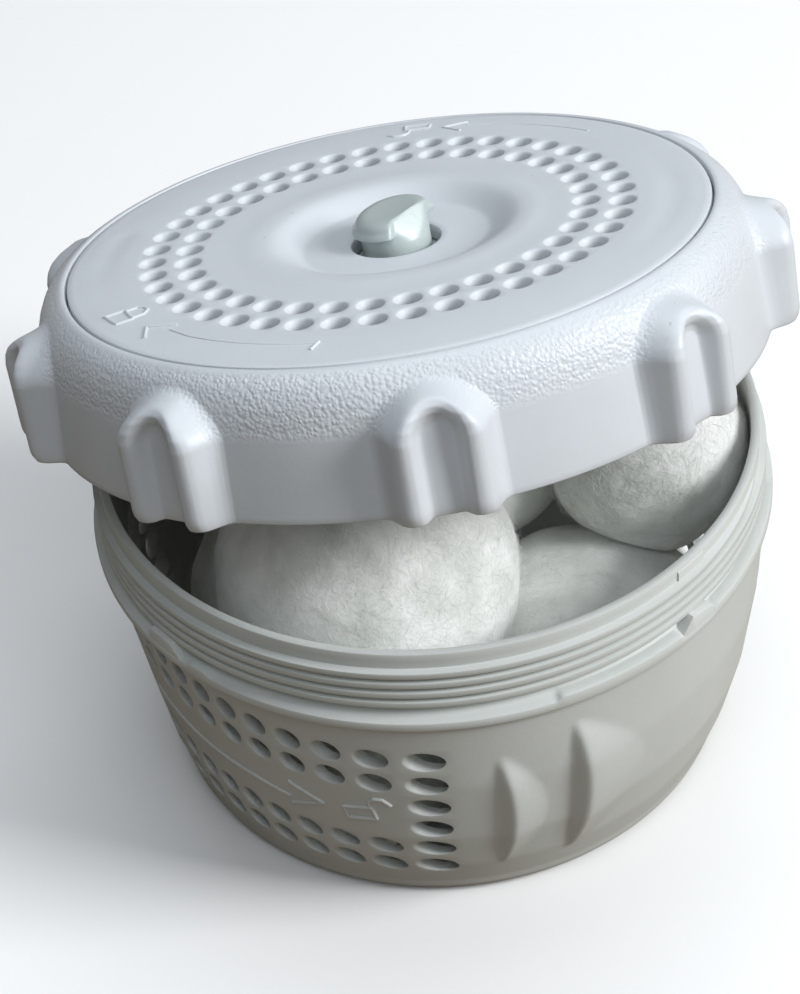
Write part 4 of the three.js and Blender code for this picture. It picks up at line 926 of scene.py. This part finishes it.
def felted_fibre(name, colour, shade):
    """Felted polyester: white fibre that scatters light inside, so that its shadows are soft, a little darker
    in soft patches of painted shade between its clumps, with a fine tangled nap."""
    material, tree, shader, place = new_material(name)
    # Painted shade: noise darkens the white towards the second colour in soft patches, for the shade between
    # the fibre's clumps.
    tuft_shade = node(tree, "TexNoise", {"Vector": place, "Scale": 1000 / TUFT_SHADE_SIZE, "Detail": 5.0,
                                    "Roughness": 0.55, "Distortion": 0.4})
    spread = node(tree, "MapRange", {"Value": tuft_shade.outputs["Fac"], "From Min": 0.3, "From Max": 0.62})
    tone = node(tree, "Mix", {"Factor": spread.outputs["Result"], "A": linear(shade),
                              "B": linear(colour)}, data_type="RGBA")
    nap = node(tree, "TexNoise", {"Vector": place, "Scale": 1000 / NAP_SIZE, "Detail": 4.0,
                                  "Distortion": 1.5})
    bump = node(tree, "Bump", {"Height": nap.outputs["Fac"], "Strength": 0.6, "Distance": 0.0003})
    feed(shader, {"Base Color": tone.outputs["Result"], "Normal": bump.outputs["Normal"], "Roughness": 1.0,
                  "Sheen Weight": 0.3, "Specular IOR Level": 0.1, "Subsurface Weight": 0.5,
                  "Subsurface Radius": (1.0, 1.0, 1.0), "Subsurface Scale": 0.0025})
    return material


def lumps(points, size, seed):
    """Smooth value noise from -1 to 1: random numbers on a cubic lattice, blended between its corners."""
    table = np.random.default_rng(seed).uniform(-1, 1, 4096)
    q = points / size + 1000.0
    base = np.floor(q).astype(int)
    t = eased(q - base)
    total = np.zeros(len(points))
    for corner in range(8):
        bit = np.array([corner & 1, corner >> 1 & 1, corner >> 2 & 1])
        cell = base + bit
        mixed = (cell[:, 0] * 73856093) ^ (cell[:, 1] * 19349663) ^ (cell[:, 2] * 83492791)
        weight = np.prod(np.where(bit, t, 1 - t), axis=1)
        total += weight * table[mixed % 4096]
    return total


def even_directions(count):
    """Directions spread evenly over a sphere along a golden spiral."""
    i = np.arange(count) + 0.5
    z = 1 - 2 * i / count
    return round_axis(180 * (1 + 5 ** 0.5) * i, np.sqrt(1 - z * z), z)


ball_places = {}
for ball in BALLS:
    low, high = (np.array(c) * 1000 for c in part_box("fibre_ball_" + ball))
    ball_places[ball] = ((low + high) / 2, (high - low).max() / 2)


def pressed(points, ball, slack):
    """Points of a ball's skin, kept on its own side of the planes that part it from its neighbours."""
    centre, radius = ball_places[ball]
    for other, (there, other_radius) in ball_places.items():
        between = there - centre
        distance = np.linalg.norm(between)
        if other == ball or distance > radius + other_radius + NEAR:
            continue
        between = between / distance
        limit = (distance + radius - other_radius + SAG[ball] - SAG[other]) / 2 - slack
        beyond = (points - centre) @ between - limit
        points = points - np.maximum(beyond, 0)[:, None] * between
    return points


def in_basket(points, slack):
    """Points kept inside the basket's wall and above its floor."""
    r = np.hypot(points[:, 0], points[:, 1])
    azimuth = np.degrees(np.arctan2(points[:, 1], points[:, 0]))
    z = points[:, 2]
    wall = np.minimum(LIP_INNER, body_radius(z) - BASKET_WALL) * (1 - panel_inset(azimuth, z)) - slack
    squeeze = np.where((z < BASKET_HEIGHT + 1) & (r > wall), wall / np.maximum(r, 1), 1.0)
    points = points * np.stack([squeeze, squeeze, np.ones_like(r)], 1)
    points[:, 2] = np.maximum(points[:, 2], FLOOR_TOP + slack)
    return points


def ball_skin(directions, ball, seed):
    """The skin of a ball along directions: its radius with lumps of several sizes, wider below where the
    cap presses it down, and flat where it meets a neighbour or the wall."""
    centre, radius = ball_places[ball]
    near = directions * radius
    swell = SKIN_RISE + sum(height * lumps(near, size, seed + number)
                            for number, (height, size) in enumerate(SKIN_LUMPS))
    swell += SAG[ball] * np.clip(SAG_FROM[ball] - directions @ CAP_AXIS, 0, 1)
    points = centre + directions * (radius + swell)[:, None]
    return in_basket(pressed(points, ball, CONTACT_GAP), WALL_GAP)


def fibres(ball, count, seed):
    """Curled fibres that lie on a ball's skin: each an arc that leaves the skin and comes back to it, as
    a three-sided strand. They stand closer on the side that the open neck shows."""
    rng = np.random.default_rng(seed)
    start = even_directions(2 * count)
    shown = (start[:, 1] < 0.35) & (start[:, 2] > -0.35)
    start = start[shown | (np.arange(2 * count) % 5 == 0)][:count]
    count = len(start)
    aside = unit(np.cross(start, rng.normal(size=(count, 3))))
    length = rng.uniform(*FIBRE_LENGTH, count) / ball_places[ball][1]
    bend = rng.normal(0, FIBRE_BEND, count)
    lift = rng.uniform(*FIBRE_LIFT, count) * np.where(rng.random(count) < LOOSE_SHARE, LOOSE_LIFT, 1.0)
    share = np.linspace(-0.5, 0.5, FIBRE_STEPS + 1)
    third = np.cross(start, aside)
    angle = share[None] * length[:, None]
    sway = bend[:, None] * angle ** 2 * 2.0
    way = unit(start[:, None] + aside[:, None] * angle[..., None] + third[:, None] * sway[..., None])
    skin = ball_skin(way.reshape(-1, 3), ball, seed).reshape(count, FIBRE_STEPS + 1, 3)
    rise = lift[:, None] * (1 - (2 * share[None]) ** 2) - FIBRE_SINK
    centre = skin + way * rise[..., None]
    along = unit(np.gradient(centre, axis=1))
    side = unit(np.cross(along, way))
    thick = rng.uniform(*FIBRE_THICKNESS, count)[:, None] * (1 - 0.6 * np.abs(2 * share[None]) ** 3)
    corner = np.radians([90, 210, 330])
    points = carried(centre, side, np.cross(side, along), thick[..., None] * np.cos(corner),
                     thick[..., None] * np.sin(corner))
    strand = grid_quads(FIBRE_STEPS + 1, 3, False, True).reshape(-1, 4)
    stride = (FIBRE_STEPS + 1) * 3
    quads = (np.arange(count)[:, None, None] * stride + strand[None]).reshape(-1, 4)
    ends = np.array([[0, 1, 2], [stride - 1, stride - 2, stride - 3]])
    caps = (np.arange(count)[:, None, None] * stride + ends[None]).reshape(-1, 3)
    return points.reshape(-1, 3), [quads, caps]


def ball_core(ball, detail, seed):
    """A ball's dense core: an even sphere of triangles moved out to the skin."""
    sphere = bmesh.new()
    bmesh.ops.create_icosphere(sphere, subdivisions=detail, radius=1.0)
    sphere.verts.ensure_lookup_table()
    directions = np.array([v.co for v in sphere.verts])
    faces = np.array([[v.index for v in f.verts] for f in sphere.faces])
    sphere.free()
    return ball_skin(unit(directions), ball, seed), [faces]


# The second colour is the painted shade between the fibre's clumps.
fibre = felted_fibre("felted_polyester", "#F3F5F1", "#D9DCD6")
for number, ball in enumerate(BALLS):
    detail = 6 if STRANDS[ball] > HIDDEN_STRANDS else 5
    ball_parts = [ball_core(ball, detail, 10 * number), fibres(ball, STRANDS[ball], 10 * number)]
    piece = finished("ball_" + ball, mesh_of("ball_" + ball, *joined(ball_parts)), fibre)
    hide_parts("fibre_ball_" + ball)
    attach(piece, "basket")

# ---- Floor and light -------------------------------------------------------------------------------
# A pale level floor, and soft studio light: a wide lamp overhead, a window in front on the right, a
# broad weak one high in front, and a dim even sky.
FLOOR_HALF = 3000.0
floor_corners = np.array([[-1, -1, 0], [1, -1, 0], [1, 1, 0], [-1, 1, 0]]) * FLOOR_HALF
floor_mesh = mesh_of("floor", floor_corners, [np.array([[0, 1, 2, 3]])])
floor = placed("floor", floor_mesh)
# The floor is pale to the camera, and darker and warmer to the light that it throws back on the object.
pale, tree, shader, place = new_material("pale_floor")
seen_from = node(tree, "LightPath")
tint = node(tree, "Mix", {"Factor": seen_from.outputs["Is Camera Ray"], "A": linear("#857866"),
                          "B": linear("#F6F6F4")}, data_type="RGBA")
feed(shader, {"Base Color": tint.outputs["Result"], "Roughness": 0.9})
floor_mesh.materials.append(pale)

world = bpy.data.worlds.new("soft_sky")
bpy.context.scene.world = world
world.use_nodes = True
tree = world.node_tree
# Behind the floor's end the camera sees the sky as pale as the floor, while its light stays dim.
SKY_STRENGTH = 0.14
looked_at = node(tree, "LightPath").outputs["Is Camera Ray"]
dimmed = node(tree, "MapRange", {"Value": looked_at, "To Min": SKY_STRENGTH, "To Max": 1.0})
feed(tree.nodes["Background"], {"Color": linear("#F1F3F5"), "Strength": dimmed.outputs["Result"]})


def lamp(name, place, target, size, watts, colour):
    """A square soft lamp at a place, facing a target."""
    data = bpy.data.lights.new(name, "AREA")
    data.size = size
    data.energy = watts
    data.color = linear(colour)[:3]
    away = unit(np.array(place) - np.array(target))
    right = unit(np.cross([0.0, 0.0, 1.0], away))
    turned = Matrix((right, np.cross(away, right), away)).transposed().to_4x4()
    placed(name, data).matrix_world = Matrix.Translation(place) @ turned


lamp("overhead", (-0.05, 0.35, 1.15), (0, 0, 0.08), 0.7, 5.4, "#F1F7FF")
lamp("window", (1.08, -0.34, 0.79), (0, 0, 0.06), 0.5, 18.0, "#FBFCFF")
lamp("sky", (0.1, -0.7, 1.2), (0, 0, 0.06), 0.8, 4.6, "#F0F6FF")

bpy.context.scene.view_settings.view_transform = "Standard"
